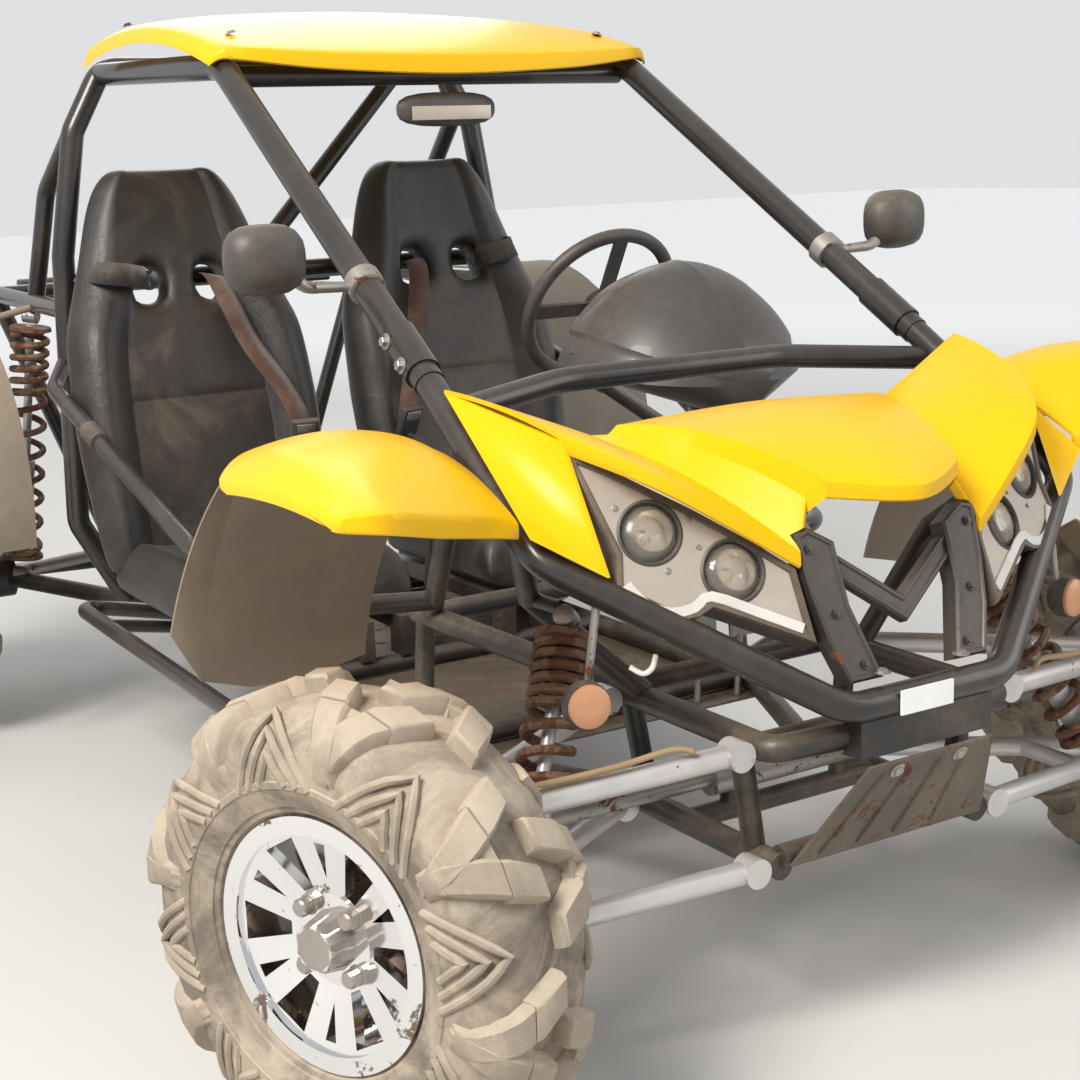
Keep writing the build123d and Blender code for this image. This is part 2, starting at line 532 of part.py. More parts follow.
# Cowl: a raised hood between two wings that rise to the pillars. Columns: rear point, front point,
# bulge of the arch between them, and the height of the front lip.
cowl_table = [
    ((0, -972, 903), (0, -1352, 826), 26, 22),
    ((248, -971, 893), (124, -1296, 838), 24, 24),
    ((262, -968, 880), (136, -1268, 812), 20, 22),
    ((290, -955, 880), (171, -1297, 745), 20, 22),
    ((350, -930, 895), (350, -1232, 862), 18, 22),
    ((458, -890, 958), (440, -1122, 915), 8, 22),
]
cowl_half = skin(cowl_table, SKIN)
save("front_cowl", cowl_half + mirrored(cowl_half))

# Headlamps: a deep housing under each wing with two round wells, and a lens in each well
lamp_plane = Plane(origin=(300, -1230, 750), x_dir=(0.95, 0.312, 0), z_dir=(0.287, -0.874, 0.393))


def traced(plane, points):
    """The outline of points in space, seen square on to a plane."""
    local = [plane.to_local_coords(Vector(*point)) for point in points]
    return [(spot.X, spot.Y) for spot in local]


lamp_outline = [(436, -1118, 889), (424, -1161, 822), (409, -1196, 759), (419, -1211, 718), (407, -1225, 697),
                (390, -1238, 680), (358, -1254, 667), (320, -1264, 672), (298, -1267, 682), (243, -1296, 657),
                (172, -1335, 624), (172, -1287, 722), (223, -1252, 762), (291, -1207, 809), (383, -1150, 866)]
lamp_centres = [(355, -1203, 784), (258, -1260, 726)]
housing = flat_prism(lamp_plane, traced(lamp_plane, lamp_outline), -55) - nose_clear
lenses = []
for x, y in traced(lamp_plane, lamp_centres):
    housing = housing - lamp_plane * (Pos(x, y, -16) * Cylinder(LENS_RADIUS + SEAT_GAP, 56))
    lenses.append(lamp_plane * (Pos(x, y, -10) * Cylinder(LENS_RADIUS, 8)))
save("headlamps", housing, mirrored(housing))
save("headlamp_lenses", *lenses, *[mirrored(lens) for lens in lenses])

# Cowl blades: the yellow sides under the wings, outside the headlamps
blade_plane = Plane(origin=(437, -1119, 893), x_dir=(0, 1, 0), z_dir=(0.992, -0.122, 0.025))
blade_outline = [(437, -1118, 891.6), (428, -1195, 770), (429, -1212, 734), (450, -1046, 762), (458, -985, 822),
                 (462, -930, 862), (464, -915, 925)]
blade = flat_prism(blade_plane, traced(blade_plane, blade_outline), FLAP) - nose_clear
save("cowl_blades", blade, mirrored(blade))

# Turn lamps on brackets under the nose tube, and a small blank plate on its front
turn_lamp = rod((470, -1222, 562), (462, -1180, 560), 66) + rod((455, -1190, 575), (436, -1188, 702), 12)
turn_lamp = turn_lamp - nose_clear
save("turn_lamps", turn_lamp, mirrored(turn_lamp))
front_plate = Pos(-21, -1387 - SEAT_GAP - 2, 533) * Box(97, 4, 35)
save("front_plate", front_plate)

# Fenders over the front wheels
front_fender_table = [
    ((525, -925, 884), (525, -1110, 800), 18, 30),
    ((620, -900, 908), (620, -1240, 838), 42, 34),
    ((720, -890, 918), (720, -1300, 858), 48, 34),
    ((810, -900, 908), (810, -1280, 862), 42, 34),
    ((862, -940, 886), (862, -1210, 858), 28, 32),
]
front_fender = skin(front_fender_table, SKIN)
save("front_fenders", front_fender, mirrored(front_fender))


def flap(sections, thickness):
    """A hanging sheet through a table of sections: top, middle and bottom of its front face."""
    faces = []
    back = Vector(0, thickness, 0)
    for top, middle, bottom in sections:
        top, middle, bottom = Vector(*top), Vector(*middle), Vector(*bottom)
        edges = [
            ThreePointArc(top, middle, bottom),
            Line(bottom, bottom + back),
            ThreePointArc(bottom + back, middle + back, top + back),
            Line(top + back, top),
        ]
        faces.append(make_face(edges))
    return loft(faces, ruled=True)


# Mud flaps that hang from the front fenders behind the wheels
mud_flap_table = [
    ((527, -925, 876.5), (527, -772, 745), (527, -655, 520)),
    ((620, -900, 900.5), (620, -757, 745), (620, -648, 498)),
    ((720, -890, 910.5), (720, -755, 745), (720, -646, 500)),
    ((800, -898, 901.5), (800, -757, 745), (800, -650, 525)),
    ((850, -930, 883.5), (850, -775, 750), (850, -672, 610)),
]
mud_flap = flap(mud_flap_table, FLAP)
save("front_mud_flaps", mud_flap, mirrored(mud_flap))

# Rear fenders: a bent sheet over each rear wheel with a flap in front of it, on two stays
fender_outer = [ThreePointArc((642, 490), (700, 800), (870, 935)), ThreePointArc((870, 935), (1180, 985), (1495, 800)),
                Line((1495, 800), (1490, 794))]
fender_inner = [ThreePointArc((1490, 794), (1178, 978), (875, 929)), ThreePointArc((875, 929), (707, 797), (649, 490)),
                Line((649, 490), (642, 490))]
rear_fender = extrude(Plane.YZ.offset(664) * make_face(fender_outer + fender_inner), amount=REAR_FENDER_WIDTH)
rear_rail_clear = rod((536, HOOP_Y, REAR_RAIL_Z), (500, 1400, REAR_RAIL_Z), DASH_TUBE + 2 * SEAT_GAP)
fender_stays = [rod((510, y, REAR_RAIL_Z), (668, y, z), 16) for y, z in ((950, 950), (1300, 941))]
rear_fender = rear_fender + [stay - rear_rail_clear - stay_clear for stay in fender_stays]
save("rear_fenders", rear_fender, mirrored(rear_fender))

# Seats: a back with bolsters and two harness slots on a cushion
back_outline = [(-245, 0), (-256, 300), (-230, 520), (-150, 640), (-125, 820), (-80, 870), (80, 870), (125, 820),
                (150, 640), (230, 520), (256, 300), (245, 0)]
slot = [(-34, -28), (34, -28), (26, 28), (-18, 28)]
seat_back = flat_prism(Plane.XZ, back_outline, 90)
for sign in (1, -1):
    hole = [(sign * (73 + x), 612 + z) for x, z in slot]
    seat_back = seat_back - flat_prism(Plane.XZ.offset(-20), hole, 140)
seat_back = seat_back.rotate(Axis.X, -SEAT_BACK_LEAN)
seat_back = seat_back.moved(Location((0, 500, 430)))
cushion = Pos(0, 240, SEAT_BASE_Z + 60) * Box(480, 480, 120)
seat = seat_back + cushion
for side, name in ((1, "left"), (-1, "right")):
    save(f"seat_{name}", seat.moved(Location((side * SEAT_X, 0, 0))))

# Steering wheel and column, and the instrument pod in front of it
wheel_plane = Plane(origin=wheel_centre, x_dir=(1, 0, 0), z_dir=column_axis)
ring = wheel_plane * Torus(WHEEL_RING_RADIUS, WHEEL_RING_TUBE / 2)
wheel_hub = rod(tuple(wheel_centre - column_axis * 30), tuple(wheel_centre + column_axis * 6), 70)
spokes = []
for angle in (0, 180, 270):
    arm = Pos(WHEEL_RING_RADIUS / 2, 0, -8) * Box(WHEEL_RING_RADIUS - 8, 30, 8)
    spokes.append(wheel_plane * (Rot(0, 0, angle) * arm))
save("steering_wheel", ring, wheel_hub, *spokes)
dash_seat = bent_tube(dash_path, DASH_TUBE + 2 * SEAT_GAP, 200)
pod_outline = [(-150, 880), (-165, 930), (-120, 990), (0, 1010), (120, 990), (165, 930), (150, 880), (0, 800)]
pod = flat_prism(Plane.XZ.offset(300), [(SEAT_X + x, z) for x, z in pod_outline], 160)
save("instrument_pod", pod - column_seat - dash_seat)
save("steering_column", column - dash_seat)

# Pedals and gear lever on the floor, and the tail lamps
floor_top = FLOOR_Z - FRAME_TUBE / 2 - 0.3
pedal = rod((0, -545, floor_top + 0.9), (0, -560, 430), 12) + Pos(0, -566, 420) * Box(56, 10, 62)
save("pedals", Pos(210, 0, 0) * pedal, Pos(305, 0, 0) * pedal)
lever_base = Pos(0, 130, floor_top + 20) * Box(90, 140, 40)
save("gear_lever", lever_base + rod((0, 130, floor_top + 30), (0, 90, 560), 14) + Pos(0, 90, 560) * Sphere(22))
tail_lamp = Pos(380, 1385 + cross_tube / 2 + SEAT_GAP + 20, REAR_RAIL_Z) * Box(100, 40, 56)
save("tail_lamps", tail_lamp, mirrored(tail_lamp))

# Mirrors
door_mirror = Pos(635, -621, 1145) * Box(130, 60, 110)
stalk = rod((600, -621, 1120), (470, -600, 1104), 16) - pillar_seat
save("door_mirrors", door_mirror + stalk, mirrored(door_mirror + stalk))
cabin_mirror = Pos(0, -60, 1374) * Box(216, 30, 66)
cabin_stalk = rod((0, -50, 1400), (0, -36, 1420), 16)
front_bar_seat = rod((-200, -30, 1440), (200, -30, 1440), FRAME_TUBE + 2 * SEAT_GAP)
save("cabin_mirror", (cabin_mirror + cabin_stalk) - front_bar_seat)
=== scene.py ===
"""Looks of an open two-seat dune buggy: worn finishes, lugged tyres, seats, belts, springs and lamps.

Metres, in the frame of the packed model: +Z up, -Y to the front, +X to the vehicle's left.
"""

from math import atan2, cos, pi, radians, sin, tan, tau

import bmesh
import bpy
from bpy.props import FloatProperty, FloatVectorProperty, IntProperty, PointerProperty
from bpy.types import Operator, Panel, PropertyGroup
from mathutils import Euler, Matrix, Vector


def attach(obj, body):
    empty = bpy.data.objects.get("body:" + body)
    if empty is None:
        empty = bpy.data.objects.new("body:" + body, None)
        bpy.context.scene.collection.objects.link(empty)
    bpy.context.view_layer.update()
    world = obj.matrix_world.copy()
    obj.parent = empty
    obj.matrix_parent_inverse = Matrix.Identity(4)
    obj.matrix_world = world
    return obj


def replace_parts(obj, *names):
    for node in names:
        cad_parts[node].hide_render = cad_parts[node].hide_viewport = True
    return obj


bl_info = {
    "name": "Dune Buggy Finish",
    "version": (1, 0, 0),
    "blender": (4, 5, 0),
    "location": "View3D > Sidebar > Buggy",
    "description": "Finishes, tyres, seats, belts, springs and lamps of a dune buggy",
    "category": "Object",
}

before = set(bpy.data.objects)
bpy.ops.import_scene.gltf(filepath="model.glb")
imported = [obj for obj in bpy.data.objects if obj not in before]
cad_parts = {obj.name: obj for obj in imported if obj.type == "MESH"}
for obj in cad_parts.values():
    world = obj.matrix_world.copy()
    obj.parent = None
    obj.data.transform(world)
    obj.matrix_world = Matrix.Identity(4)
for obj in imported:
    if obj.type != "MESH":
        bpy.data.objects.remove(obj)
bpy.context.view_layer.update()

SIDES = (("left", 1), ("right", -1))
KINGPIN = Vector((0.722, -1.153, 0.33))
WHEEL_OFFSET = 0.09
REST_STEER = radians(21.24)
REAR_WHEEL = Vector((0.812, 1.147, 0.33))


# Finishes


def colour_property(name, description, default):
    """A colour that a user may change."""
    return FloatVectorProperty(name=name, description=description, subtype="COLOR", size=3, min=0, max=1,
                               default=default)


def length_property(name, description, default):
    """A length that a user may change."""
    return FloatProperty(name=name, description=description, unit="LENGTH", precision=4, min=0,
                         default=default)


class FinishSettings(PropertyGroup):
    """Colours of the buggy's finishes."""

    panel: colour_property("Panel", "Colour of the moulded panels", (0.92, 0.52, 0.004))
    tube: colour_property("Tube", "Paint of the cage and frame", (0.012, 0.010, 0.010))
    arm: colour_property("Arm", "Paint of the suspension arms", (0.50, 0.49, 0.48))
    rubber: colour_property("Rubber", "Colour of the tyres under the dust", (0.085, 0.070, 0.058))
    leather: colour_property("Leather", "Colour of the seat covers", (0.016, 0.013, 0.012))
    shell: colour_property("Shell", "Colour of the dark plastic", (0.035, 0.032, 0.032))
    dust: colour_property("Dust", "Colour of the sand dust on everything", (0.36, 0.27, 0.18))
    rust: colour_property("Rust", "Colour of the rust", (0.13, 0.050, 0.022))
    belt: colour_property("Belt", "Colour of the seat belts", (0.085, 0.034, 0.024))


class Shader:
    """A material's node tree, with short ways to add to it."""

    def __init__(self, name):
        self.material = bpy.data.materials.new(name)
        self.material.use_nodes = True
        self.tree = self.material.node_tree
        self.surface = self.tree.nodes["Principled BSDF"]
        self.place = self.node("ShaderNodeTexCoord").outputs["Object"]

    def node(self, kind, **values):
        made = self.tree.nodes.new(kind)
        for key, value in values.items():
            setattr(made, key, value)
        return made

    def plug(self, source, socket):
        """Links a source to a socket, or sets the socket where the source is a plain value."""
        if isinstance(source, bpy.types.NodeSocket):
            self.tree.links.new(source, socket)
        elif isinstance(source, (tuple, list)) and len(source) == 3 and socket.type == "RGBA":
            socket.default_value = (*source, 1)
        else:
            socket.default_value = source

    def noise(self, scale, detail=5.0, roughness=0.6, distortion=0.0):
        made = self.node("ShaderNodeTexNoise")
        self.plug(self.place, made.inputs["Vector"])
        self.plug(scale, made.inputs["Scale"])
        self.plug(detail, made.inputs["Detail"])
        self.plug(roughness, made.inputs["Roughness"])
        self.plug(distortion, made.inputs["Distortion"])
        return made.outputs["Fac"]

    def cells(self, scale):
        made = self.node("ShaderNodeTexVoronoi", feature="DISTANCE_TO_EDGE")
        self.plug(self.place, made.inputs["Vector"])
        self.plug(scale, made.inputs["Scale"])
        return made.outputs["Distance"]

    def ramp(self, value, low, high, out_low=0.0, out_high=1.0):
        """The value read from low to high, as a number from out_low to out_high."""
        made = self.node("ShaderNodeMapRange", interpolation_type="SMOOTHSTEP")
        for source, socket in zip((value, low, high, out_low, out_high), made.inputs):
            self.plug(source, socket)
        return made.outputs["Result"]

    def sums(self, operation, first, second):
        made = self.node("ShaderNodeMath", operation=operation, use_clamp=True)
        self.plug(first, made.inputs[0])
        self.plug(second, made.inputs[1])
        return made.outputs[0]

    def mix(self, factor, first, second):
        made = self.node("ShaderNodeMix", data_type="RGBA")
        self.plug(factor, made.inputs[0])
        self.plug(first, made.inputs[6])
        self.plug(second, made.inputs[7])
        return made.outputs[2]

    def facing_up(self):
        """How far the surface faces the sky, from -1 to 1."""
        split = self.node("ShaderNodeSeparateXYZ")
        self.plug(self.node("ShaderNodeNewGeometry").outputs["Normal"], split.inputs[0])
        return split.outputs["Z"]

    def bump(self, height, strength, distance=0.001):
        made = self.node("ShaderNodeBump")
        self.plug(strength, made.inputs["Strength"])
        self.plug(distance, made.inputs["Distance"])
        self.plug(height, made.inputs["Height"])
        self.plug(made.outputs["Normal"], self.surface.inputs["Normal"])

    def set(self, **values):
        """Sets or links the surface's sockets, named with underscores."""
        for key, value in values.items():
            self.plug(value, self.surface.inputs[key.replace("_", " ")])
        return self.material


def weathered(name, base, roughness, metallic=0.0, dust=0.4, top_dust=0.4, chips=0.0, chip_colour=None,
              grain=160, grain_depth=0.25, coat=0.0, patch=3.5):
    """A finish with dust in patches and on what faces up, chipped spots and a fine grain."""
    finish = bpy.context.scene.buggy_finish
    shader = Shader(name)
    patches = shader.ramp(shader.noise(patch, 7, 0.65, 0.4), 0.42, 0.72, 0, dust)
    settled = shader.ramp(shader.facing_up(), -0.2, 1, 0, top_dust)
    grit = shader.ramp(shader.noise(45, 4, 0.7), 0.3, 0.7, 0.5, 1)
    dirt = shader.sums("MULTIPLY", shader.sums("ADD", patches, settled), grit)
    tone = shader.mix(shader.noise(14), tuple(base), tuple(min(1, 1.5 * part + 0.004) for part in base))
    colour = shader.mix(dirt, tone, tuple(finish.dust))
    rough = shader.ramp(dirt, 0, 1, roughness, 0.9)
    if chips:
        spots = shader.ramp(shader.noise(26, 8, 0.72, 0.6), 0.72 - 0.2 * chips, 0.76 - 0.2 * chips)
        colour = shader.mix(spots, colour, tuple(chip_colour or finish.rust))
        metal = shader.ramp(spots, 0, 1, metallic, 0.1 * metallic)
        rough = shader.ramp(spots, 0, 1, rough, 0.8)
        shader.set(Metallic=metal)
    else:
        shader.set(Metallic=metallic)
    shader.bump(shader.noise(grain, 3, 0.6), grain_depth)
    return shader.set(Base_Color=colour, Roughness=rough, Coat_Weight=coat)


def panel_finish():
    """Glossy moulded panel with a thin haze of dust, scuffs and fine scratches."""
    finish = bpy.context.scene.buggy_finish
    shader = Shader("panel")
    haze = shader.ramp(shader.noise(4, 8, 0.7, 0.5), 0.5, 0.85, 0, 0.10)
    low = shader.ramp(shader.facing_up(), 0.3, -0.6, 0, 0.12)
    dirt = shader.sums("ADD", haze, low)
    tone = shader.mix(shader.noise(2.2), tuple(finish.panel), tuple(0.9 * part for part in finish.panel))
    scuff = shader.ramp(shader.noise(60, 9, 0.75, 2.5), 0.70, 0.74, 0, 0.3)
    colour = shader.mix(shader.sums("ADD", dirt, scuff), tone, tuple(0.9 * part for part in finish.dust))
    rough = shader.ramp(shader.sums("ADD", dirt, scuff), 0, 0.5, 0.30, 0.6)
    shader.bump(shader.noise(7, 2, 0.5), 0.12, 0.004)
    return shader.set(Base_Color=colour, Roughness=rough, Specular_IOR_Level=0.18)


def rubber_finish():
    """Tyre rubber: grey-brown, pale with dry sand in patches and on its raised edges, finely grained; the
    hollows and creases stay dark as painted shade.
    """
    finish = bpy.context.scene.buggy_finish
    shader = Shader("tyre_rubber")
    # Pointiness mask, partly sand and partly painted shade: convex edges take the pale sand colour, hollows
    # keep the dark rubber colour as painted shade.
    edges = shader.ramp(shader.node("ShaderNodeNewGeometry").outputs["Pointiness"], 0.49, 0.60, 0, 0.75)
    patches = shader.ramp(shader.noise(9, 8, 0.7, 0.6), 0.36, 0.66, 0.20, 0.85)
    settled = shader.ramp(shader.facing_up(), 0.1, 1, 0, 0.35)
    # The mix from dark rubber to pale sand holds real sand patches and the painted shade of the hollows.
    dirt = shader.sums("ADD", shader.sums("MAXIMUM", edges, patches), settled)
    pale = shader.mix(shader.noise(70, 4), (0.40, 0.32, 0.24), (0.52, 0.44, 0.35))
    colour = shader.mix(dirt, tuple(finish.rubber), pale)
    grain = shader.sums("ADD", shader.noise(240, 3), shader.sums("MULTIPLY", shader.noise(38, 5), 0.7))
    shader.bump(grain, 0.55, 0.0014)
    rough = shader.ramp(dirt, 0, 1, 0.72, 0.95)
    return shader.set(Base_Color=colour, Roughness=rough, Specular_IOR_Level=0.3)


def chrome_finish():
    """Bright plating that has peeled off in patches, down to brown, pitted metal."""
    shader = Shader("peeling_chrome")
    peeled = shader.ramp(shader.noise(13, 9, 0.68, 0.7), 0.60, 0.625)
    specks = shader.ramp(shader.noise(70, 6, 0.7), 0.66, 0.70)
    worn = shader.sums("MAXIMUM", peeled, specks)
    under = shader.mix(shader.noise(40, 6, 0.7), (0.055, 0.022, 0.012), (0.23, 0.17, 0.12))
    colour = shader.mix(worn, (0.78, 0.78, 0.79), under)
    shader.bump(shader.sums("SUBTRACT", 1, worn), 0.5, 0.0006)
    return shader.set(Base_Color=colour, Metallic=shader.ramp(worn, 0, 1, 1, 0.15),
                      Roughness=shader.ramp(worn, 0, 1, 0.10, 0.75))


def leather_finish(name, base, dust):
    """Creased cover of a seat: fine cell grain, soft wrinkles and rubbed dust."""
    finish = bpy.context.scene.buggy_finish
    shader = Shader(name)
    rubbed = shader.ramp(shader.noise(5, 7, 0.66, 0.8), 0.44, 0.74, 0, dust)
    settled = shader.ramp(shader.facing_up(), 0, 1, 0, 0.35 * dust)
    dirt = shader.sums("ADD", rubbed, settled)
    colour = shader.mix(dirt, tuple(base), tuple(finish.dust))
    grain = shader.sums("MULTIPLY", shader.ramp(shader.cells(420), 0, 0.12), 0.35)
    creases = shader.ramp(shader.noise(16, 5, 0.6, 1.6), 0.38, 0.62)
    shader.bump(shader.sums("ADD", grain, shader.sums("MULTIPLY", creases, 0.6)), 0.35, 0.0014)
    return shader.set(Base_Color=colour, Roughness=shader.ramp(dirt, 0, 0.5, 0.34, 0.7), Sheen_Weight=0.1)


def webbing_finish(name, base):
    """Woven belt: a fine rib across its width, faded and dusty."""
    finish = bpy.context.scene.buggy_finish
    shader = Shader(name)
    wave = shader.node("ShaderNodeTexWave", wave_type="BANDS", bands_direction="DIAGONAL")
    shader.plug(shader.place, wave.inputs["Vector"])
    wave.inputs["Scale"].default_value = 190
    faded = shader.ramp(shader.noise(12), 0.4, 0.7, 0, 0.4)
    colour = shader.mix(faded, tuple(base), tuple(0.8 * part for part in finish.dust))
    shader.bump(wave.outputs["Fac"], 0.5, 0.0008)
    return shader.set(Base_Color=colour, Roughness=0.85, Sheen_Weight=0.3)


def clear_finish(name, tint, roughness, clearness=0.9):
    """Moulded lens: tinted and clear, with a little dust and fine flutes."""
    shader = Shader(name)
    haze = shader.ramp(shader.noise(30, 6), 0.45, 0.8, roughness, roughness + 0.35)
    shader.bump(shader.noise(90, 2), 0.08)
    shader.material.surface_render_method = "BLENDED"
    return shader.set(Base_Color=tint, Roughness=haze, Transmission_Weight=clearness, IOR=1.45)


def plated_finish(name, tint, scale, low, bright, dull):
    """Polished plating that is duller in patches."""
    shader = Shader(name)
    rough = shader.ramp(shader.noise(scale), low, 0.8, bright, dull)
    return shader.set(Base_Color=tint, Metallic=1.0, Roughness=rough)


def make_finishes():
    """Every finish of the buggy by its name."""
    finish = bpy.context.scene.buggy_finish
    return {
        "panel": panel_finish(),
        "chrome": chrome_finish(),
        "cage": weathered("cage_paint", finish.tube, 0.32, dust=0.10, top_dust=0.07, chips=0.25,
                          chip_colour=(0.10, 0.07, 0.05), grain_depth=0.1, coat=0.25),
        "frame": weathered("frame_paint", finish.tube, 0.42, dust=0.34, top_dust=0.22, chips=0.5, coat=0.1),
        "arm": weathered("arm_paint", finish.arm, 0.38, 0.55, dust=0.15, top_dust=0.1, chips=0.45, grain=90),
        "steel": weathered("bare_steel", (0.30, 0.29, 0.28), 0.42, 0.8, dust=0.35, top_dust=0.25, chips=0.8),
        "plate": weathered("skid_plate_steel", (0.10, 0.085, 0.07), 0.5, 0.6, dust=0.5, top_dust=0.3,
                           chips=0.8),
        "cap": weathered("hub_cap", (0.30, 0.27, 0.25), 0.32, 0.75, dust=0.45, top_dust=0.3, chips=0.3,
                         grain=60, grain_depth=0.5, patch=9),
        "disc": weathered("disc_steel", (0.22, 0.16, 0.12), 0.4, 0.8, dust=0.3, chips=1.0),
        "rubber": rubber_finish(),
        "leather": leather_finish("seat_leather", finish.leather, 0.14),
        "centre": leather_finish("seat_centre_cloth", (0.026, 0.018, 0.014), 0.26),
        "shell": weathered("dark_plastic", finish.shell, 0.45, dust=0.3, top_dust=0.2, grain=420,
                           grain_depth=0.35),
        "pod": weathered("pod_paint", (0.055, 0.051, 0.050), 0.42, 0.3, dust=0.16, top_dust=0.10, grain=300,
                         grain_depth=0.1, coat=0.08),
        "guard": weathered("cast_guard", (0.040, 0.034, 0.031), 0.4, 0.3, dust=0.16, top_dust=0.15, chips=0.5,
                           grain=260, grain_depth=0.25),
        "flap": weathered("flap_plastic", (0.19, 0.155, 0.12), 0.6, dust=0.9, top_dust=0.3, grain=260,
                          grain_depth=0.5, patch=2.4),
        "lamp": weathered("lamp_housing", (0.060, 0.044, 0.032), 0.5, dust=0.5, top_dust=0.25, grain=80),
        "lamp_pale": weathered("lamp_inner", (0.38, 0.33, 0.28), 0.35, 0.3, dust=0.5, top_dust=0.1,
                               chips=0.15, grain=40),
        "strip": weathered("lamp_strip", (0.52, 0.50, 0.47), 0.35, dust=0.5, top_dust=0.1),
        "spring": weathered("rusty_spring", (0.17, 0.095, 0.058), 0.7, 0.2, dust=0.6, top_dust=0.5,
                            chips=1.2),
        "engine": weathered("cast_alloy", (0.26, 0.25, 0.24), 0.5, 0.6, dust=0.4, top_dust=0.3, chips=0.3),
        "exhaust": weathered("hot_steel", (0.22, 0.16, 0.12), 0.42, 0.8, dust=0.3, chips=0.9),
        "white": weathered("plate_white", (0.80, 0.80, 0.78), 0.4, dust=0.12, top_dust=0.1,
                           grain_depth=0.05),
        "hose_tan": weathered("hose_tan", (0.32, 0.20, 0.10), 0.6, dust=0.4),
        "hose_pale": weathered("hose_pale", (0.72, 0.68, 0.62), 0.5, dust=0.3),
        "webbing": webbing_finish("belt_webbing", finish.belt),
        "webbing_black": webbing_finish("belt_webbing_black", (0.016, 0.014, 0.013)),
        "glass": clear_finish("lamp_glass", (0.86, 0.79, 0.70), 0.08),
        "amber": clear_finish("amber_lens", (0.85, 0.42, 0.22), 0.2, 0.25),
        "red": clear_finish("red_lens", (0.62, 0.03, 0.02), 0.12, 0.25),
        "mirror": plated_finish("mirror_glass", (0.82, 0.84, 0.86), 20, 0.4, 0.02, 0.2),
        "reflector": plated_finish("reflector", (0.85, 0.82, 0.78), 50, 0.3, 0.12, 0.4),
    }


FINISHES = {}
NODE_FINISH = {
    # finish, and how the names of its nodes start
    "chrome": ("rim_",),
    "rubber": ("tyre_",),
    "disc": ("brake_disc",),
    "steel": ("knuckle", "steering_rack", "steering_column", "tie_rods", "half_shafts", "pedals"),
    "arm": ("front_upper_arms", "front_lower_arms"),
    "frame": ("lower_rails", "upper_rails", "cross_tubes", "shock_towers", "seat_rails", "rear_arms",
              "rear_bumper"),
    "cage": ("nose_tube", "cage_", "rear_frame", "dash_tube", "sill_bars", "side_bars"),
    "plate": ("floor_pan", "skid_plate"),
    "engine": ("engine",),
    "exhaust": ("exhaust",),
    "spring": ("front_shocks", "rear_shocks"),
    "pod": ("grille_guard", "instrument_pod"),
    "panel": ("roof_panel", "front_cowl", "cowl_blades", "front_fenders"),
    "flap": ("front_mud_flaps", "rear_fenders"),
    "leather": ("seat_left", "seat_right"),
    "shell": ("steering_wheel", "door_mirrors", "cabin_mirror", "gear_lever"),
    "lamp": ("headlamps",),
    "glass": ("headlamp_lenses",),
    "white": ("front_plate",),
    "amber": ("turn_lamps",),
    "red": ("tail_lamps",),
}


class BUGGY_OT_finishes(Operator):
    """Make the finishes and paint the frame's own pieces with them"""

    bl_idname = "buggy.finishes"
    bl_label = "Finishes"

    def execute(self, context):
        FINISHES.update(make_finishes())
        for node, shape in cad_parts.items():
            names = [finish for finish, starts in NODE_FINISH.items() if node.startswith(starts)]
            if not names:
                raise RuntimeError("no finish for " + node)
            for material_slot in shape.material_slots:
                material_slot.material = FINISHES[names[0]]
        return {"FINISHED"}


# Shapes


MIRROR = Matrix.Scale(-1, 4, (1, 0, 0))


def at(x, y, z):
    """A place moved by x, y and z."""
    return Matrix.Translation((x, y, z))


def about(angle, axis):
    """A turn about an axis."""
    return Matrix.Rotation(angle, 4, axis)


def sided(points, side):
    """Points of the left side, as they are or mirrored to the right one."""
    return [(side * x, y, z) for x, y, z in points]


def add_piece(name, build, finishes, body="chassis"):
    """One mesh piece from a bmesh, with its finishes, riding on a body."""
    bmesh.ops.recalc_face_normals(build, faces=build.faces)
    mesh = bpy.data.meshes.new(name)
    build.to_mesh(mesh)
    build.free()
    for polygon in mesh.polygons:
        polygon.use_smooth = True
    piece = bpy.data.objects.new(name, mesh)
    bpy.context.collection.objects.link(piece)
    for finish in finishes:
        mesh.materials.append(FINISHES[finish])
    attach(piece, body)
    return piece


def sharpen(piece, angle=35):
    """Keeps edges crisp where faces meet at more than an angle."""
    piece.data.set_sharp_from_angle(angle=radians(angle))
    return piece


def loft(build, rings, close_ends=False, finish=0):
    """Faces between closed rings of points with the same count. Gives the rings of vertices."""
    rows = [[build.verts.new(point) for point in ring] for ring in rings]
    for low, high in zip(rows, rows[1:]):
        for index in range(len(low)):
            face = build.faces.new((low[index - 1], low[index], high[index], high[index - 1]))
            face.material_index = finish
    if close_ends:
        for face in (build.faces.new(rows[0][::-1]), build.faces.new(rows[-1])):
            face.material_index = finish
    return rows


def circle(steps):
    """Points round a circle of radius 1, as (x, y) pairs."""
    return [(cos(tau * k / steps), sin(tau * k / steps)) for k in range(steps)]


def spin(build, profile, place, steps=32, finish=0, close_ends=True):
    """A turned shape: a profile of (height, radius) pairs about the +Z axis of a place."""
    rings = []
    for height, radius in profile:
        rings.append([place @ Vector((radius * x, radius * y, height)) for x, y in circle(steps)])
    loft(build, rings, close_ends=close_ends, finish=finish)


def along(start, end):
    """A place at a start whose +Z axis points to an end."""
    start, end = Vector(start), Vector(end)
    return Matrix.Translation(start) @ (end - start).to_track_quat("Z", "Y").to_matrix().to_4x4()


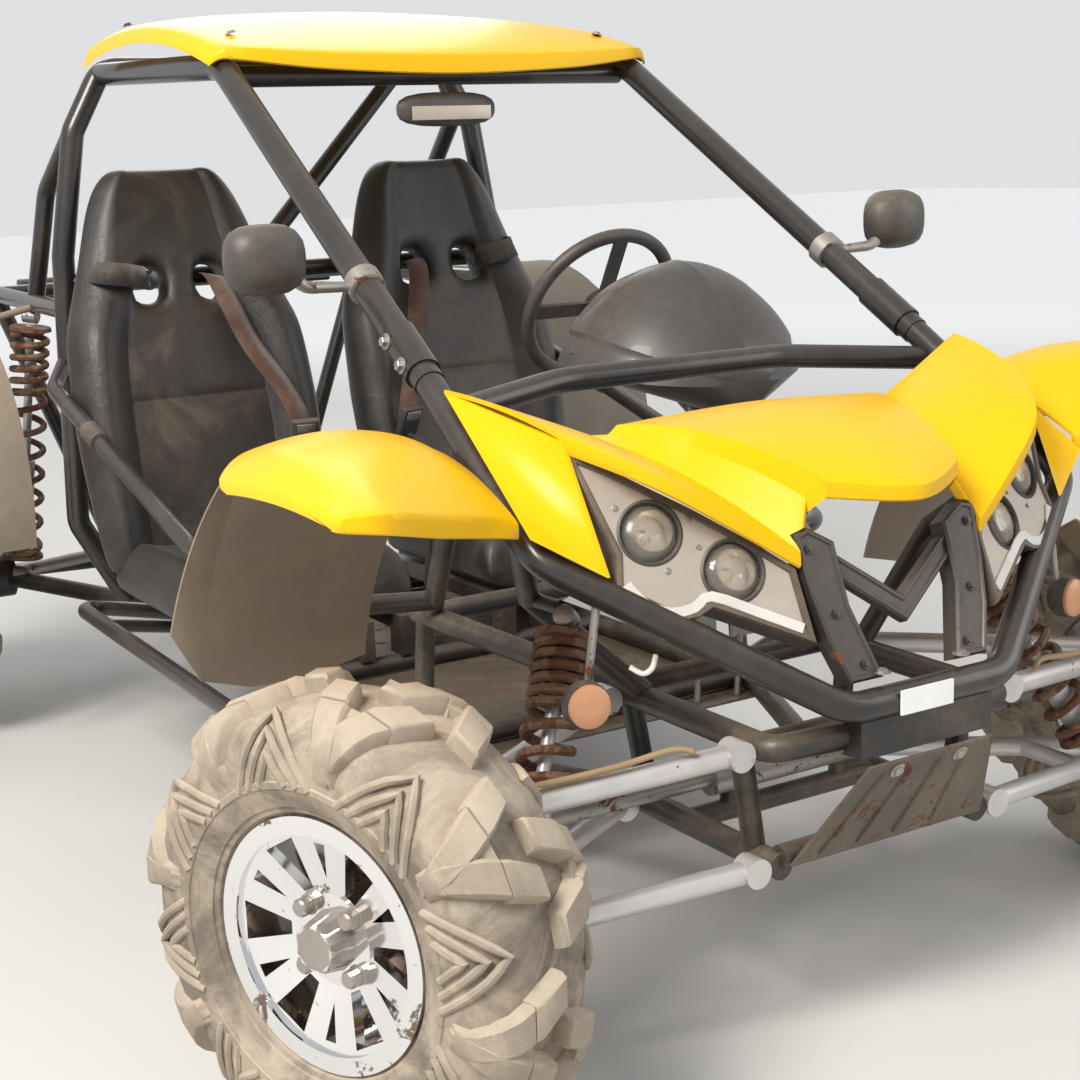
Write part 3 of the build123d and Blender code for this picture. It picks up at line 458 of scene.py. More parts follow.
def pipe(build, points, radius, sides=12, finish=0):
    """A tube through points, with a steady twist-free ring at each. The radius may be a list."""
    points = [Vector(point) for point in points]
    side = (points[1] - points[0]).orthogonal().normalized()
    rings = []
    for index, point in enumerate(points):
        direction = (points[min(index + 1, len(points) - 1)] - points[max(index - 1, 0)]).normalized()
        side = (side - direction * side.dot(direction)).normalized()
        other = direction.cross(side)
        reach = radius[index] if isinstance(radius, list) else radius
        rings.append([point + (side * x + other * y) * reach for x, y in circle(sides)])
    loft(build, rings, close_ends=True, finish=finish)


def rounded_box(build, place, size, bevel, segments=3, finish=0):
    """A box with rounded edges, centred on a place."""
    verts = bmesh.ops.create_cube(build, size=1)["verts"]
    for vert in verts:
        vert.co = Vector(part * length for part, length in zip(vert.co, size))
    edges = list({edge for vert in verts for edge in vert.link_edges})
    rounded = bmesh.ops.bevel(build, geom=edges, offset=bevel, segments=segments, profile=0.5, affect="EDGES")
    corners = {vert for face in rounded["faces"] for vert in face.verts}
    faces = {face for vert in corners for face in vert.link_faces}
    for face in faces:
        face.material_index = finish
    for vert in corners:
        vert.co = place @ vert.co


def bolt(build, place, radius, height, finish=0):
    """A hexagon bolt head on a washer, standing along the +Z axis of a place."""
    base = 0.3 * height
    washer = [(0, 1.6 * radius), (0.25 * height, 1.6 * radius), (base, 1.5 * radius)]
    spin(build, washer, place, 16, finish)
    spin(build, [(base, radius), (0.9 * height, radius), (height, 0.85 * radius)], place, 6, finish)


def turned(place, side):
    """A place of the left side, as it is or as the right side's mirror image of it."""
    return place if side > 0 else MIRROR @ place


def eased(points, cuts=6):
    """Points on a smooth line through the given ones, which may have any number of coordinates."""
    points = [Vector(point) for point in points]
    smooth = []
    for index in range(len(points) - 1):
        p0 = points[max(0, index - 1)]
        p1, p2 = points[index], points[index + 1]
        p3 = points[min(len(points) - 1, index + 2)]
        for step in range(cuts):
            t = step / cuts
            smooth.append(0.5 * ((2 * p1) + (p2 - p0) * t + (2 * p0 - 5 * p1 + 4 * p2 - p3) * t * t
                                 + (3 * p1 - p0 - 3 * p2 + p3) * t ** 3))
    return smooth + [points[-1]]


def carved(shell, cutter):
    """A bmesh with another one cut out of it."""
    made = []
    for build in (shell, cutter):
        mesh = bpy.data.meshes.new("carving")
        build.to_mesh(mesh)
        build.free()
        made.append(bpy.data.objects.new("carving", mesh))
        bpy.context.collection.objects.link(made[-1])
    cut = made[0].modifiers.new("cut", "BOOLEAN")
    cut.object = made[1]
    cut.operation = "DIFFERENCE"
    cut.solver = "EXACT"
    result = bmesh.new()
    result.from_object(made[0], bpy.context.evaluated_depsgraph_get())
    for shape in made:
        bpy.data.meshes.remove(shape.data)
    return result


# Moulded panels


class PanelSettings(PropertyGroup):
    """Sizes of the moulded panels."""

    thickness: length_property("Thickness", "Thickness of a moulded panel", 0.0068)
    edge: length_property("Edge", "Radius of the turned edges", 0.008)


ROOF_ROWS = [
    # rear edge, front edge, bulge, lip, in millimetres
    ((0, 655, 1574), (0, -104, 1474), 52, 36),
    ((250, 655, 1566), (250, -98, 1478), 48, 31),
    ((400, 652, 1548), (400, -80, 1486), 42, 24),
    ((452, 648, 1530), (452, -60, 1486), 40, 18),
    ((474, 640, 1494), (474, -45, 1464), 46, 8),
]
COWL_ROWS = [
    ((0, -972, 903), (0, -1352, 826), 26, 22),
    ((248, -971, 893), (124, -1296, 838), 24, 24),
    ((262, -968, 880), (136, -1268, 812), 20, 22),
    ((290, -955, 880), (171, -1297, 745), 20, 22),
    ((350, -930, 895), (350, -1232, 862), 18, 22),
    ((500, -905, 964), (440, -1122, 915), 8, 22),
]
FENDER_ROWS = [
    ((531, -925, 884), (531, -1150, 812), 14, 22),
    ((620, -900, 908), (620, -1223, 842), 40, 26),
    ((720, -890, 918), (720, -1285, 868), 44, 27),
    ((810, -900, 908), (812, -1335, 892), 32, 26),
    ((862, -940, 886), (866, -1325, 892), 14, 18),
    ((872, -985, 878), (876, -1310, 884), 8, 8),
]
POD_ROWS = [
    # forward, half width, height of the tips, crown and keel, in millimetres
    (255, 238, 900, 1054, 852),
    (335, 245, 886, 1070, 812),
    (430, 218, 874, 1034, 796),
    (500, 156, 866, 968, 790),
    (540, 84, 862, 905, 802),
    (548, 40, 862, 884, 826),
]
GUARD_FOOT = Vector((0, -1.361, 0.553))
GUARD_UP = Vector((0, 0.341, 0.940))
GUARD_OUT = Vector((0, -0.940, 0.341))
GUARD_POST = [(70, 12), (129, 12), (152, 80), (164, 150), (170, 228), (146, 236), (103, 210), (101, 120)]
GUARD_VEE = [(-112, 201), (0, 120), (112, 201), (112, 163), (0, 80), (-112, 163)]
GUARD_BOLTS = [(98, 34), (128, 110), (150, 205)]
GUARD_ZONE = [(68, 10), (131, 10), (154, 80), (166, 150), (172, 230), (146, 238), (101, 212), (99, 120)]
GUARD_ZONE_DEPTHS = (0.012, -0.036)
CAST_EDGE = 0.003
CAST_STEPS = [(0.0, -0.0035), (0.0035, 0.0), (0.0075, 0.0), (0.0095, -0.0025)]
BLADE_FRONT = Vector((0.441, -1.121, 0.908)), Vector((0.433, -1.212, 0.734))
BLADE_REAR = Vector((0.501, -0.906, 0.960)), Vector((0.525, -1.168, 0.792))
BLADE_CROWN = 0.004
BLADE_THICKNESS = 0.0045
POD_MIDDLE = 340
POD_EDGE = 5.0
DIALS = [
    # across, height and radius
    (0.270, 0.955, 0.052),
    (0.405, 0.955, 0.052),
    (0.338, 0.900, 0.022),
]


def panel_numbers(row):
    """A row of a panel's table as one list of numbers."""
    rear, front, bulge, lip = row
    return (*rear, *front, bulge, lip)


def other_side(row):
    """The same row on the vehicle's other side."""
    rear, front, bulge, lip = row
    return ((-rear[0], *rear[1:]), (-front[0], *front[1:]), bulge, lip)


def panel_ring(numbers, thickness, edge, steps=22):
    """The closed profile of a panel: the arch, its turned edge with the lip, and the underside."""
    rear, front = Vector(numbers[0:3]) / 1000, Vector(numbers[3:6]) / 1000
    bulge, lip = numbers[6] / 1000, numbers[7] / 1000
    run = front - rear
    flat = Vector((run.x, run.y, 0)).normalized()
    up = Vector((0, 0, 1))
    edge = min(edge, 0.45 * lip)

    def arch(t):
        return rear + run * t + up * (4 * bulge * t * (1 - t))

    last = 1 - edge / run.length
    outer = [arch(last * step / steps) for step in range(steps + 1)]
    corner = outer[-1] * 0.15 + (front - up * edge) * 0.15 + front * 0.7
    tip = front - up * lip
    inner = [arch(last * step / steps) - up * thickness for step in range(steps, -1, -1)]
    inner_corner = front - flat * thickness - up * (thickness + 0.4 * edge)
    ring = outer + [corner, front - up * edge, tip + up * 0.002, tip - flat * thickness / 2 - up * 0.0005]
    return ring + [tip - flat * thickness + up * 0.002, inner_corner] + inner


def panel(build, rows, sizes, cuts=8):
    """A closed moulded panel, smooth through the rows of its table."""
    numbers = eased([panel_numbers(row) for row in rows], cuts)
    loft(build, [panel_ring(row, sizes.thickness, sizes.edge) for row in numbers], close_ends=True)


def guard_point(u, v, out):
    """A point on the grille guard's leaning plane, from millimetres across and up, and metres out."""
    return GUARD_FOOT + Vector((u / 1000, 0, 0)) + GUARD_UP * v / 1000 + GUARD_OUT * out


def guard_cutter():
    """The room that the posts of the grille guard take out of the cowl."""
    build = bmesh.new()
    for _, side in SIDES:
        rings = [[guard_point(side * u, v, depth) for u, v in GUARD_ZONE] for depth in GUARD_ZONE_DEPTHS]
        loft(build, rings, close_ends=True)
    bmesh.ops.recalc_face_normals(build, faces=build.faces)
    return build


def rows_of(rows, side):
    """The rows of a panel on one side of the vehicle."""
    return rows if side > 0 else [other_side(row) for row in rows]


class BUGGY_OT_panels(Operator):
    """Make the roof, fenders, cowl, blades, pod and grille guard in place of the plain ones"""

    bl_idname = "buggy.panels"
    bl_label = "Panels"

    def execute(self, context):
        sizes = context.scene.buggy_panels
        build = bmesh.new()
        panel(build, [other_side(row) for row in ROOF_ROWS[:0:-1]] + ROOF_ROWS, sizes)
        self.finish(build, "roof_shell", "roof_panel")
        build = bmesh.new()
        for _, side in SIDES:
            panel(build, rows_of(FENDER_ROWS, side), sizes)
        self.finish(build, "fender_shells", "front_fenders")
        self.cowl(sizes)
        self.blades()
        self.pod()
        self.guard()
        return {"FINISHED"}

    def guard(self):
        """The grille guard: two leaning cast posts with a raised rim, and the vee between them."""
        build = bmesh.new()
        for _, side in SIDES:
            self.casting(build, [(side * u, v) for u, v in GUARD_POST], 0.0, 0.034)
            for u, v in GUARD_BOLTS:
                spot = guard_point(side * u, v, 0.0)
                bolt(build, along(spot, spot + GUARD_OUT), 0.0045, 0.004)
        self.casting(build, GUARD_VEE, -0.006, 0.022)
        self.finish(build, "guard_casting", "grille_guard", "guard", 24)

    def casting(self, build, outline, front, depth):
        """A flat cast plate with bevelled edges and a shallow pocket in its face."""
        corners = [Vector(spot) / 1000 for spot in outline]
        steps = [(CAST_EDGE, -depth), (0.0, CAST_EDGE - depth), *CAST_STEPS]
        rings = []
        for inward, lift in steps:
            loop = inset(corners, inward)
            rings.append([guard_point(1000 * spot.x, 1000 * spot.y, front + lift) for spot in loop])
        loft(build, rings, close_ends=True)

    def finish(self, build, name, node, finish="panel", angle=48):
        """Turns a closed build into the piece that stands for a node."""
        piece = add_piece(name, build, [finish])
        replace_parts(sharpen(piece, angle), node)

    def cowl(self, sizes):
        """The hood, and on each side the step down to the wing and the wing itself."""
        hood = bmesh.new()
        panel(hood, [other_side(COWL_ROWS[1]), COWL_ROWS[0], COWL_ROWS[1]], sizes, 12)
        steps = bmesh.new()
        for _, side in SIDES:
            rows = rows_of(COWL_ROWS, side)
            panel(hood, rows[3:6], sizes)
            rings = [panel_ring(panel_numbers(row), sizes.thickness, sizes.edge) for row in rows[1:4]]
            loft(steps, rings, close_ends=True)
        bmesh.ops.recalc_face_normals(steps, faces=steps.faces)
        steps = carved(steps, guard_cutter())
        mesh = bpy.data.meshes.new("steps")
        steps.to_mesh(mesh)
        steps.free()
        hood.from_mesh(mesh)
        bpy.data.meshes.remove(mesh)
        self.finish(hood, "cowl_shell", "front_cowl", angle=30)

    def blades(self):
        """The yellow sides between the wings and the nose tube, slightly crowned."""
        build = bmesh.new()
        for _, side in SIDES:
            rings = []
            for step in range(17):
                t = step / 16
                high, low = (front.lerp(rear, t) for front, rear in zip(BLADE_FRONT, BLADE_REAR))
                outer = []
                for k in range(13):
                    share = k / 12
                    swell = BLADE_CROWN * 4 * t * (1 - t) * 4 * share * (1 - share)
                    outer.append(high.lerp(low, share) + Vector((swell, 0, 0)))
                inner = [point - Vector((BLADE_THICKNESS, 0, 0)) for point in reversed(outer)]
                rings.append([Vector(point) for point in sided(outer + inner, side)])
            loft(build, rings, close_ends=True)
        self.finish(build, "blade_shells", "cowl_blades")

    def pod(self):
        """The instrument pod: a shield with a raised V on its crown, a skirt and dials behind."""
        build = bmesh.new()
        rows = eased(POD_ROWS, 8)
        loft(build, [self.pod_ring(row, k / (len(rows) - 1)) for k, row in enumerate(rows)], close_ends=True)
        for x, z, size in DIALS:
            dial = [(-0.004, size), (0.006, size), (0.008, 0.9 * size), (0.003, 0.84 * size), (0.003, 0.004)]
            spin(build, dial, along((x, -0.2552, z), (x, -0.20, z)), 32)
        for _, side in SIDES:
            spot = Vector((POD_MIDDLE / 1000 + side * 0.225, -0.300, 0.918))
            bolt(build, along(spot, spot + Vector((side * 0.8, -0.3, 0.5))), 0.007, 0.006)
        self.finish(build, "pod_shell", "instrument_pod", "pod", 24)

    def pod_ring(self, row, ahead):
        """A section of the pod: its crown with the V, and the skirt below. Ahead goes from 0 to 1."""
        forward, half, tip, crown, keel = row
        sag = crown - tip
        reach = (half ** 2 + sag ** 2) / (2 * sag)
        limit = atan2(half, reach - sag)
        valley = 0.52 * (1 - ahead) ** 0.8 + 0.03
        ring = []
        for step in range(-32, 33):
            share = step / 32
            r = reach
            if abs(share) > 0.80:
                r -= POD_EDGE
            elif abs(share) < valley:
                r += POD_EDGE - 3.5 * abs(share) / valley
            if abs(share) < 0.03:
                r += 2.5
            turn = share * limit
            ring.append(Vector((POD_MIDDLE + r * sin(turn), -forward, crown - reach + r * cos(turn))))
        for share in (0.66, 0.33, 0, -0.33, -0.66):
            height = tip + (keel - tip) * (1 - abs(share)) - 4
            ring.append(Vector((POD_MIDDLE + half * share, -forward, height)))
        return [point / 1000 for point in ring]


# Tyres


TYRE_STEPS = 96
TYRE_BEAD = [(0.0717, 0.1545), (0.0757, 0.1620), (0.0760, 0.1720), (0.0850, 0.1760), (0.0870, 0.1830),
             (0.0900, 0.1840)]
TYRE_WALL = [
    # within the half width, radius
    (0.019, 0.1960), (0.013, 0.2060), (0.0115, 0.2105), (0.009, 0.2120), (0.008, 0.2200), (0.0105, 0.2220),
    (0.010, 0.2400), (0.013, 0.2580), (0.022, 0.2780), (0.038, 0.2950), (0.060, 0.3030),
]
SHOULDER_LINE = [
    # within the half width, radius
    (0.066, 0.310), (0.040, 0.303), (0.021, 0.287), (0.011, 0.262), (0.008, 0.236), (0.010, 0.214),
]
WEDGE = [
    # outer point within the half width and its radius, inner point, width
    (0.060, 0.3170, 0.060, 0.296, 0.040),
    (0.046, 0.3140, 0.050, 0.290, 0.030),
    (0.034, 0.3060, 0.044, 0.284, 0.014),
]
LUG_BLOCK = [
    # across from the middle, or back from the half width, below the crown, share of the lug's width
    (0.004, 0.005, 0.95),
    (0.008, 0.0005, 1.05),
    (-0.064, 0.0015, 1.16),
    (-0.056, 0.006, 1.12),
]
LUG_ARM = [
    # outer point within the half width and below the crown, inner point within it and its radius, share
    (0.054, 0.008, 0.066, 0.296, 1.16),
    (0.036, 0.014, 0.048, 0.286, 1.12),
    (0.019, 0.029, 0.033, 0.272, 1.04),
    (0.006, 0.052, 0.024, 0.256, 0.90),
    (0.001, 0.072, 0.018, 0.240, 0.74),
    (0.003, 0.092, 0.014, 0.220, 0.58),
]
LUG_FOOT = 0.296
LUG_LEAN = tan(radians(24))
LUG_EDGE = 0.004
BAR_SECTION = ((-1, 1.16), (-1, 1.0), (-1, 0.82), (1, 0.82), (1, 1.0), (1, 1.16))
NESTED_RIBS = ((0.285, 0.20), (0.195, 0.42), (0.105, 0.64))
CAP_PROFILE = [(0.0575, 0.041), (0.060, 0.0405), (0.066, 0.0385), (0.088, 0.0340), (0.0935, 0.0310),
               (0.0955, 0.0250), (0.0962, 0.010)]
NUT_PROFILE = [(0.0575, 0.0150), (0.0600, 0.0140), (0.0605, 0.0122), (0.0745, 0.0122), (0.0775, 0.0100)]
NUT_CIRCLE = 0.055


class TyreSettings(PropertyGroup):
    """Sizes of the tyres."""

    radius: length_property("Radius", "Reach of the lugs' crown", 0.33)
    half_width: length_property("Front half width", "Half the width of a front tyre", 0.115)
    rear_half_width: length_property("Rear half width", "Half the width of a rear tyre", 0.122)
    lug_width: length_property("Lug width", "Width of a lug", 0.042)
    lugs: IntProperty(name="Lugs", description="Lugs on each side of a tyre", default=16, min=4)


def wheel_place(kind, side):
    """The place of a wheel: its +X axis points out of the vehicle."""
    if kind == "rear":
        return turned(Matrix.Translation(REAR_WHEEL), side)
    pin = at(side * KINGPIN.x, KINGPIN.y, KINGPIN.z) @ about(REST_STEER, "Z")
    return pin @ turned(at(WHEEL_OFFSET, 0, 0), side)


def tyre_ring(build, half, place):
    """The carcass: side walls with two rims of moulding, rounded shoulders and the tread base."""
    outer = [*TYRE_BEAD, *((half - within, r) for within, r in TYRE_WALL), (0.030, 0.3050)]
    outline = outer + [(-x, r) for x, r in reversed(outer)]
    rings = []
    for x, r in outline + outline[:1]:
        rings.append([place @ Vector((x, r * y, r * z)) for y, z in circle(TYRE_STEPS)])
    loft(build, rings)


def shoulder_point(half, reach, lift=0.0):
    """A point (across, radius) of the shoulder: reach goes from 0 on the crown to 1 on the side wall."""
    line = [(half - within, r) for within, r in SHOULDER_LINE]
    spot = reach * (len(line) - 1)
    index = min(int(spot), len(line) - 2)
    (x0, r0), (x1, r1) = line[index], line[index + 1]
    share = spot - index
    out = Vector((r0 - r1, x1 - x0)).normalized() * lift
    return x0 + (x1 - x0) * share + out.x, r0 + (r1 - r0) * share + out.y


def tyre_bar(build, stations, move):
    """A closed bar with eased edges. A station is its outer and inner point, as (across, radius) each,
    and its offset and width along the tyre's turn."""
    rows = []
    for outer, inner, offset, width in stations:
        outer, inner = Vector(outer), Vector(inner)
        eased_edge = outer + (inner - outer).normalized() * LUG_EDGE
        spots = (inner, eased_edge, outer, outer, eased_edge, inner)
        ring = [Vector((spot.x, offset + side * share * width / 2, spot.y))
                for spot, (side, share) in zip(spots, BAR_SECTION)]
        rows.append([move @ point for point in ring])
    loft(build, rows, close_ends=True)


def tyre_lug(build, half, lug_width, radius, turn, lean, move):
    """One lug: a tread block on the crown, then an arm over the shoulder that leans to the next lug's
    arm, so that the two make a chevron that points at the rim."""
    slope = lean * LUG_LEAN
    crown = (radius ** 2 - (0.6 * lug_width) ** 2) ** 0.5
    block = []
    for across, below, share in LUG_BLOCK:
        x = across if across > 0 else half + across
        block.append(((x, crown - below), (x, LUG_FOOT), slope * x, share * lug_width))
    arm = []
    for within, below, deep, low, share in LUG_ARM:
        x = half - within
        arm.append(((x, crown - below), (half - deep, low), slope * x, share * lug_width))
    for stations in (block, arm):
        tyre_bar(build, stations, move @ about(turn, "X"))


def rib(build, half, middle, spread, reach, radius, move):
    """A bent rib on the shoulder: reach gives how far it lies from the crown at its middle and ends."""
    points = []
    for step in range(-7, 8):
        share = abs(step) / 7
        x, r = shoulder_point(half, reach[0] + (reach[1] - reach[0]) * share, -0.25 * radius)
        angle = middle + spread * (step / 7)
        points.append(move @ Vector((x, -r * sin(angle), r * cos(angle))))
    pipe(build, points, radius, 8)


def shoulder_ribs(build, half, chevron, gap, move):
    """The nested ribs between two chevrons, and the wedge and rib inside a chevron."""
    for spread, tip in NESTED_RIBS:
        rib(build, half, gap, spread, (tip, 0.98), 0.0062, move)
    rib(build, half, chevron, 0.085, (0.50, 0.10), 0.0050, move)
    wedge = []
    for within, high, deep, low, width in WEDGE:
        wedge.append(((half - within, high), (half - deep, low), 0, width))
    tyre_bar(build, wedge, move @ about(chevron, "X"))


class BUGGY_OT_tyres(Operator):
    """Make the four lugged tyres in place of the plain ones, and the hub caps"""

    bl_idname = "buggy.tyres"
    bl_label = "Tyres"

    def execute(self, context):
        sizes = context.scene.buggy_tyres
        for kind, half in (("front", sizes.half_width), ("rear", sizes.rear_half_width)):
            for name, side in SIDES:
                place = wheel_place(kind, side)
                self.tyre(kind, name, half, place, sizes)
                self.hub_cap(kind, name, place)
        return {"FINISHED"}

    def tyre(self, kind, name, half, place, sizes):
        """A carcass with lugs and ribs, those of the inner shoulder half a pitch further round."""
        build = bmesh.new()
        tyre_ring(build, half, place)
        pitch = tau / sizes.lugs
        for index in range(sizes.lugs):
            lean = 1 if index % 2 else -1
            for shift, move in ((0, place), (0.5, place @ MIRROR)):
                turn = pitch * (index + shift)
                tyre_lug(build, half, sizes.lug_width, sizes.radius, turn, lean, move)
                if lean > 0:
                    shoulder_ribs(build, half, turn - pitch / 2, turn + pitch / 2, move)
        piece = add_piece(f"tyre_tread_{kind}_{name}", build, ["rubber"],
                          f"wheel_{kind}_{name}")
        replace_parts(sharpen(piece, 40), f"tyre_{kind}_{name}")

    def hub_cap(self, kind, name, place):
        """The eight-sided cast cap over the hub, and a washer under each wheel nut."""
        build = bmesh.new()
        spin(build, CAP_PROFILE, place @ about(pi / 2, "Y") @ about(pi / 8, "Z"), 8)
        for quarter in range(4):
            nut = about(pi / 4 + quarter * pi / 2, "X") @ at(0, NUT_CIRCLE, 0) @ about(pi / 2, "Y")
            spin(build, NUT_PROFILE, place @ nut, 12)
        sharpen(add_piece(f"hub_cap_{kind}_{name}", build, ["cap"], f"wheel_{kind}_{name}"), 25)


# Seats and belts


class SeatSettings(PropertyGroup):
    """Sizes of the seats and belts."""

    place_x: length_property("Spacing", "Distance of each seat from the middle", 0.32)
    bolster: length_property("Bolster", "How far the side bolsters stand forward", 0.052)
    belt_width: length_property("Belt width", "Width of the webbing", 0.048)
    lean: FloatProperty(name="Lean", description="Lean of the backrest", default=radians(14), unit="ROTATION")


SEAT_ROWS = [
    # height, inner column, outer column, bolster column, half width, bolster share, seam depth
    (0.000, 0.060, 0.150, 0.205, 0.246, 0.5, 0.0),
    (0.060, 0.060, 0.155, 0.213, 0.258, 0.9, 0.0),
    (0.180, 0.060, 0.155, 0.217, 0.270, 1.1, 0.0),
    (0.300, 0.060, 0.155, 0.218, 0.276, 1.1, 0.0),
    (0.352, 0.060, 0.153, 0.217, 0.275, 1.1, 0.0),
    (0.360, 0.060, 0.152, 0.216, 0.274, 1.1, 0.007),
    (0.368, 0.060, 0.152, 0.216, 0.274, 1.1, 0.0),
    (0.420, 0.058, 0.150, 0.212, 0.272, 1.1, 0.0),
    (0.490, 0.048, 0.142, 0.206, 0.268, 1.0, 0.0),
    (0.530, 0.040, 0.132, 0.196, 0.260, 0.8, 0.0),
    (0.568, 0.034, 0.122, 0.182, 0.246, 0.5, 0.0),
    (0.652, 0.034, 0.108, 0.156, 0.216, 0.2, 0.0),
    (0.700, 0.036, 0.100, 0.146, 0.200, 0.15, 0.0),
    (0.760, 0.038, 0.094, 0.134, 0.182, 0.12, 0.0),
    (0.825, 0.037, 0.084, 0.118, 0.154, 0.08, 0.0),
    (0.862, 0.030, 0.068, 0.092, 0.116, 0.0, 0.0),
]
SLOT_ROW = 10
SEAM_WIDTH = 0.006
SLOTS = {(SLOT_ROW, 4), (SLOT_ROW, 7)}
CENTRE_COLUMNS = range(3, 9)
CUSHION_ROWS = [
    # back from the front edge, height, bolster share, half width
    (0.478, 0.104, 0.6, 0.236),
    (0.44, 0.112, 0.9, 0.236),
    (0.34, 0.116, 1.0, 0.236),
    (0.22, 0.118, 1.0, 0.236),
    (0.10, 0.124, 0.8, 0.236),
    (0.02, 0.128, 0.4, 0.236),
    (0.0, 0.073, 0.0, 0.226),
]
BACKREST_PLACE = (0.5, 0.43)
CUSHION_HEIGHT = 0.385
BELTS = {
    # points of the left seat's belt, the direction that it faces, and its weave
    "outer": ([(0.512, 0.668, 1.068), (0.514, 0.610, 1.072), (0.503, 0.545, 1.070), (0.470, 0.520, 1.066),
               (0.430, 0.528, 1.058), (0.402, 0.552, 1.050), (0.394, 0.590, 1.046)],
              (0.3, -1, 0.25), "webbing_black"),
    "inner": ([(0.247, 0.596, 1.050), (0.246, 0.556, 1.042), (0.236, 0.530, 1.000), (0.205, 0.492, 0.905),
               (0.165, 0.440, 0.820), (0.140, 0.415, 0.760), (0.128, 0.405, 0.715)],
              (-0.1, -1, 0.45), "webbing"),
}


def seat_row(line, height):
    """Points (across, forward) of a half row as a whole one at a height, from side to side."""
    return [(-x, -y, height) for x, y in reversed(line[1:])] + [(x, -y, height) for x, y in line]


def seat_back(build, place, bolster):
    """The backrest: a padded front with side bolsters and seams, a shell behind and two belt slots."""
    front, back = [], []
    for height, inner, outer, edge, half, share, seam in SEAT_ROWS:
        swell = 0.012 * sin(pi * min(1, height / 0.86))
        valley = 0.008 if height < 0.52 else 0.0
        pad = [(0, 0.072 + swell - seam), (inner, 0.073 + swell - seam),
               (outer - SEAM_WIDTH, 0.076 + swell - seam), (outer, 0.076 + swell - valley),
               (outer + SEAM_WIDTH, 0.079 + swell), (edge, 0.092 + bolster * share),
               (half, 0.050 + 0.6 * bolster * share)]
        shell = [(0, 0.0), (inner, 0.0), (outer - SEAM_WIDTH, 0.002), (outer, 0.002),
                 (outer + SEAM_WIDTH, 0.003), (edge, 0.006), (half, 0.030)]
        for rows, line in ((front, pad), (back, shell)):
            rows.append([build.verts.new(place @ Vector(point)) for point in seat_row(line, height)])
    columns = len(front[0])
    for row in range(len(SEAT_ROWS) - 1):
        for column in range(columns - 1):
            corners = ((row, column), (row, column + 1), (row + 1, column + 1), (row + 1, column))
            near = [front[r][c] for r, c in corners]
            far = [back[r][c] for r, c in corners]
            if (row, column) in SLOTS:
                for k in range(4):
                    build.faces.new((near[k - 1], far[k - 1], far[k], near[k]))
                continue
            centre = column in CENTRE_COLUMNS and row < SLOT_ROW
            build.faces.new(near).material_index = 1 if centre else 0
            build.faces.new(far[::-1])
        for column, turn in ((0, 1), (columns - 1, -1)):
            low, high = front[row][column], front[row + 1][column]
            build.faces.new((low, high, back[row + 1][column], back[row][column])[::turn])
    for near, far, turn in ((front[0], back[0], -1), (front[-1], back[-1], 1)):
        for column in range(columns - 1):
            build.faces.new((near[column], near[column + 1], far[column + 1], far[column])[::turn])


def seat_cushion(build, place, bolster):
    """The cushion: a crowned pad between side bolsters, rolled over at the front."""
    rings = []
    for y, top, share, half in CUSHION_ROWS:
        rise = top + 0.6 * bolster * share
        edge = [(half, 0.006), (half, 0.06), (half - 0.008, rise - 0.03), (half - 0.045, rise),
                (half - 0.09, top - 0.004)]
        ring = [(-x, z) for x, z in edge] + [(0, top + 0.006)] + edge[::-1] + [(0, 0.002)]
        rings.append([place @ Vector((x, y, z)) for x, z in ring])
    caps = []
    for ring in (rings[0], rings[-1]):
        centre = sum(ring, Vector()) / len(ring)
        caps.append([centre + (point - centre) * 0.82 for point in ring])
    loft(build, [caps[0], *rings, caps[1]], close_ends=True)


def ribbon(build, points, facing, width, thickness=0.0016, finish=0):
    """A flat strap along points, with its face turned to a direction."""
    rings = []
    for index, point in enumerate(points):
        direction = (points[min(index + 1, len(points) - 1)] - points[max(index - 1, 0)]).normalized()
        normal = (facing - direction * facing.dot(direction)).normalized()
        side = direction.cross(normal) * width / 2
        up = normal * thickness / 2
        rings.append([point - side - up, point + side - up, point + side + up, point - side + up])
    loft(build, rings, close_ends=True, finish=finish)


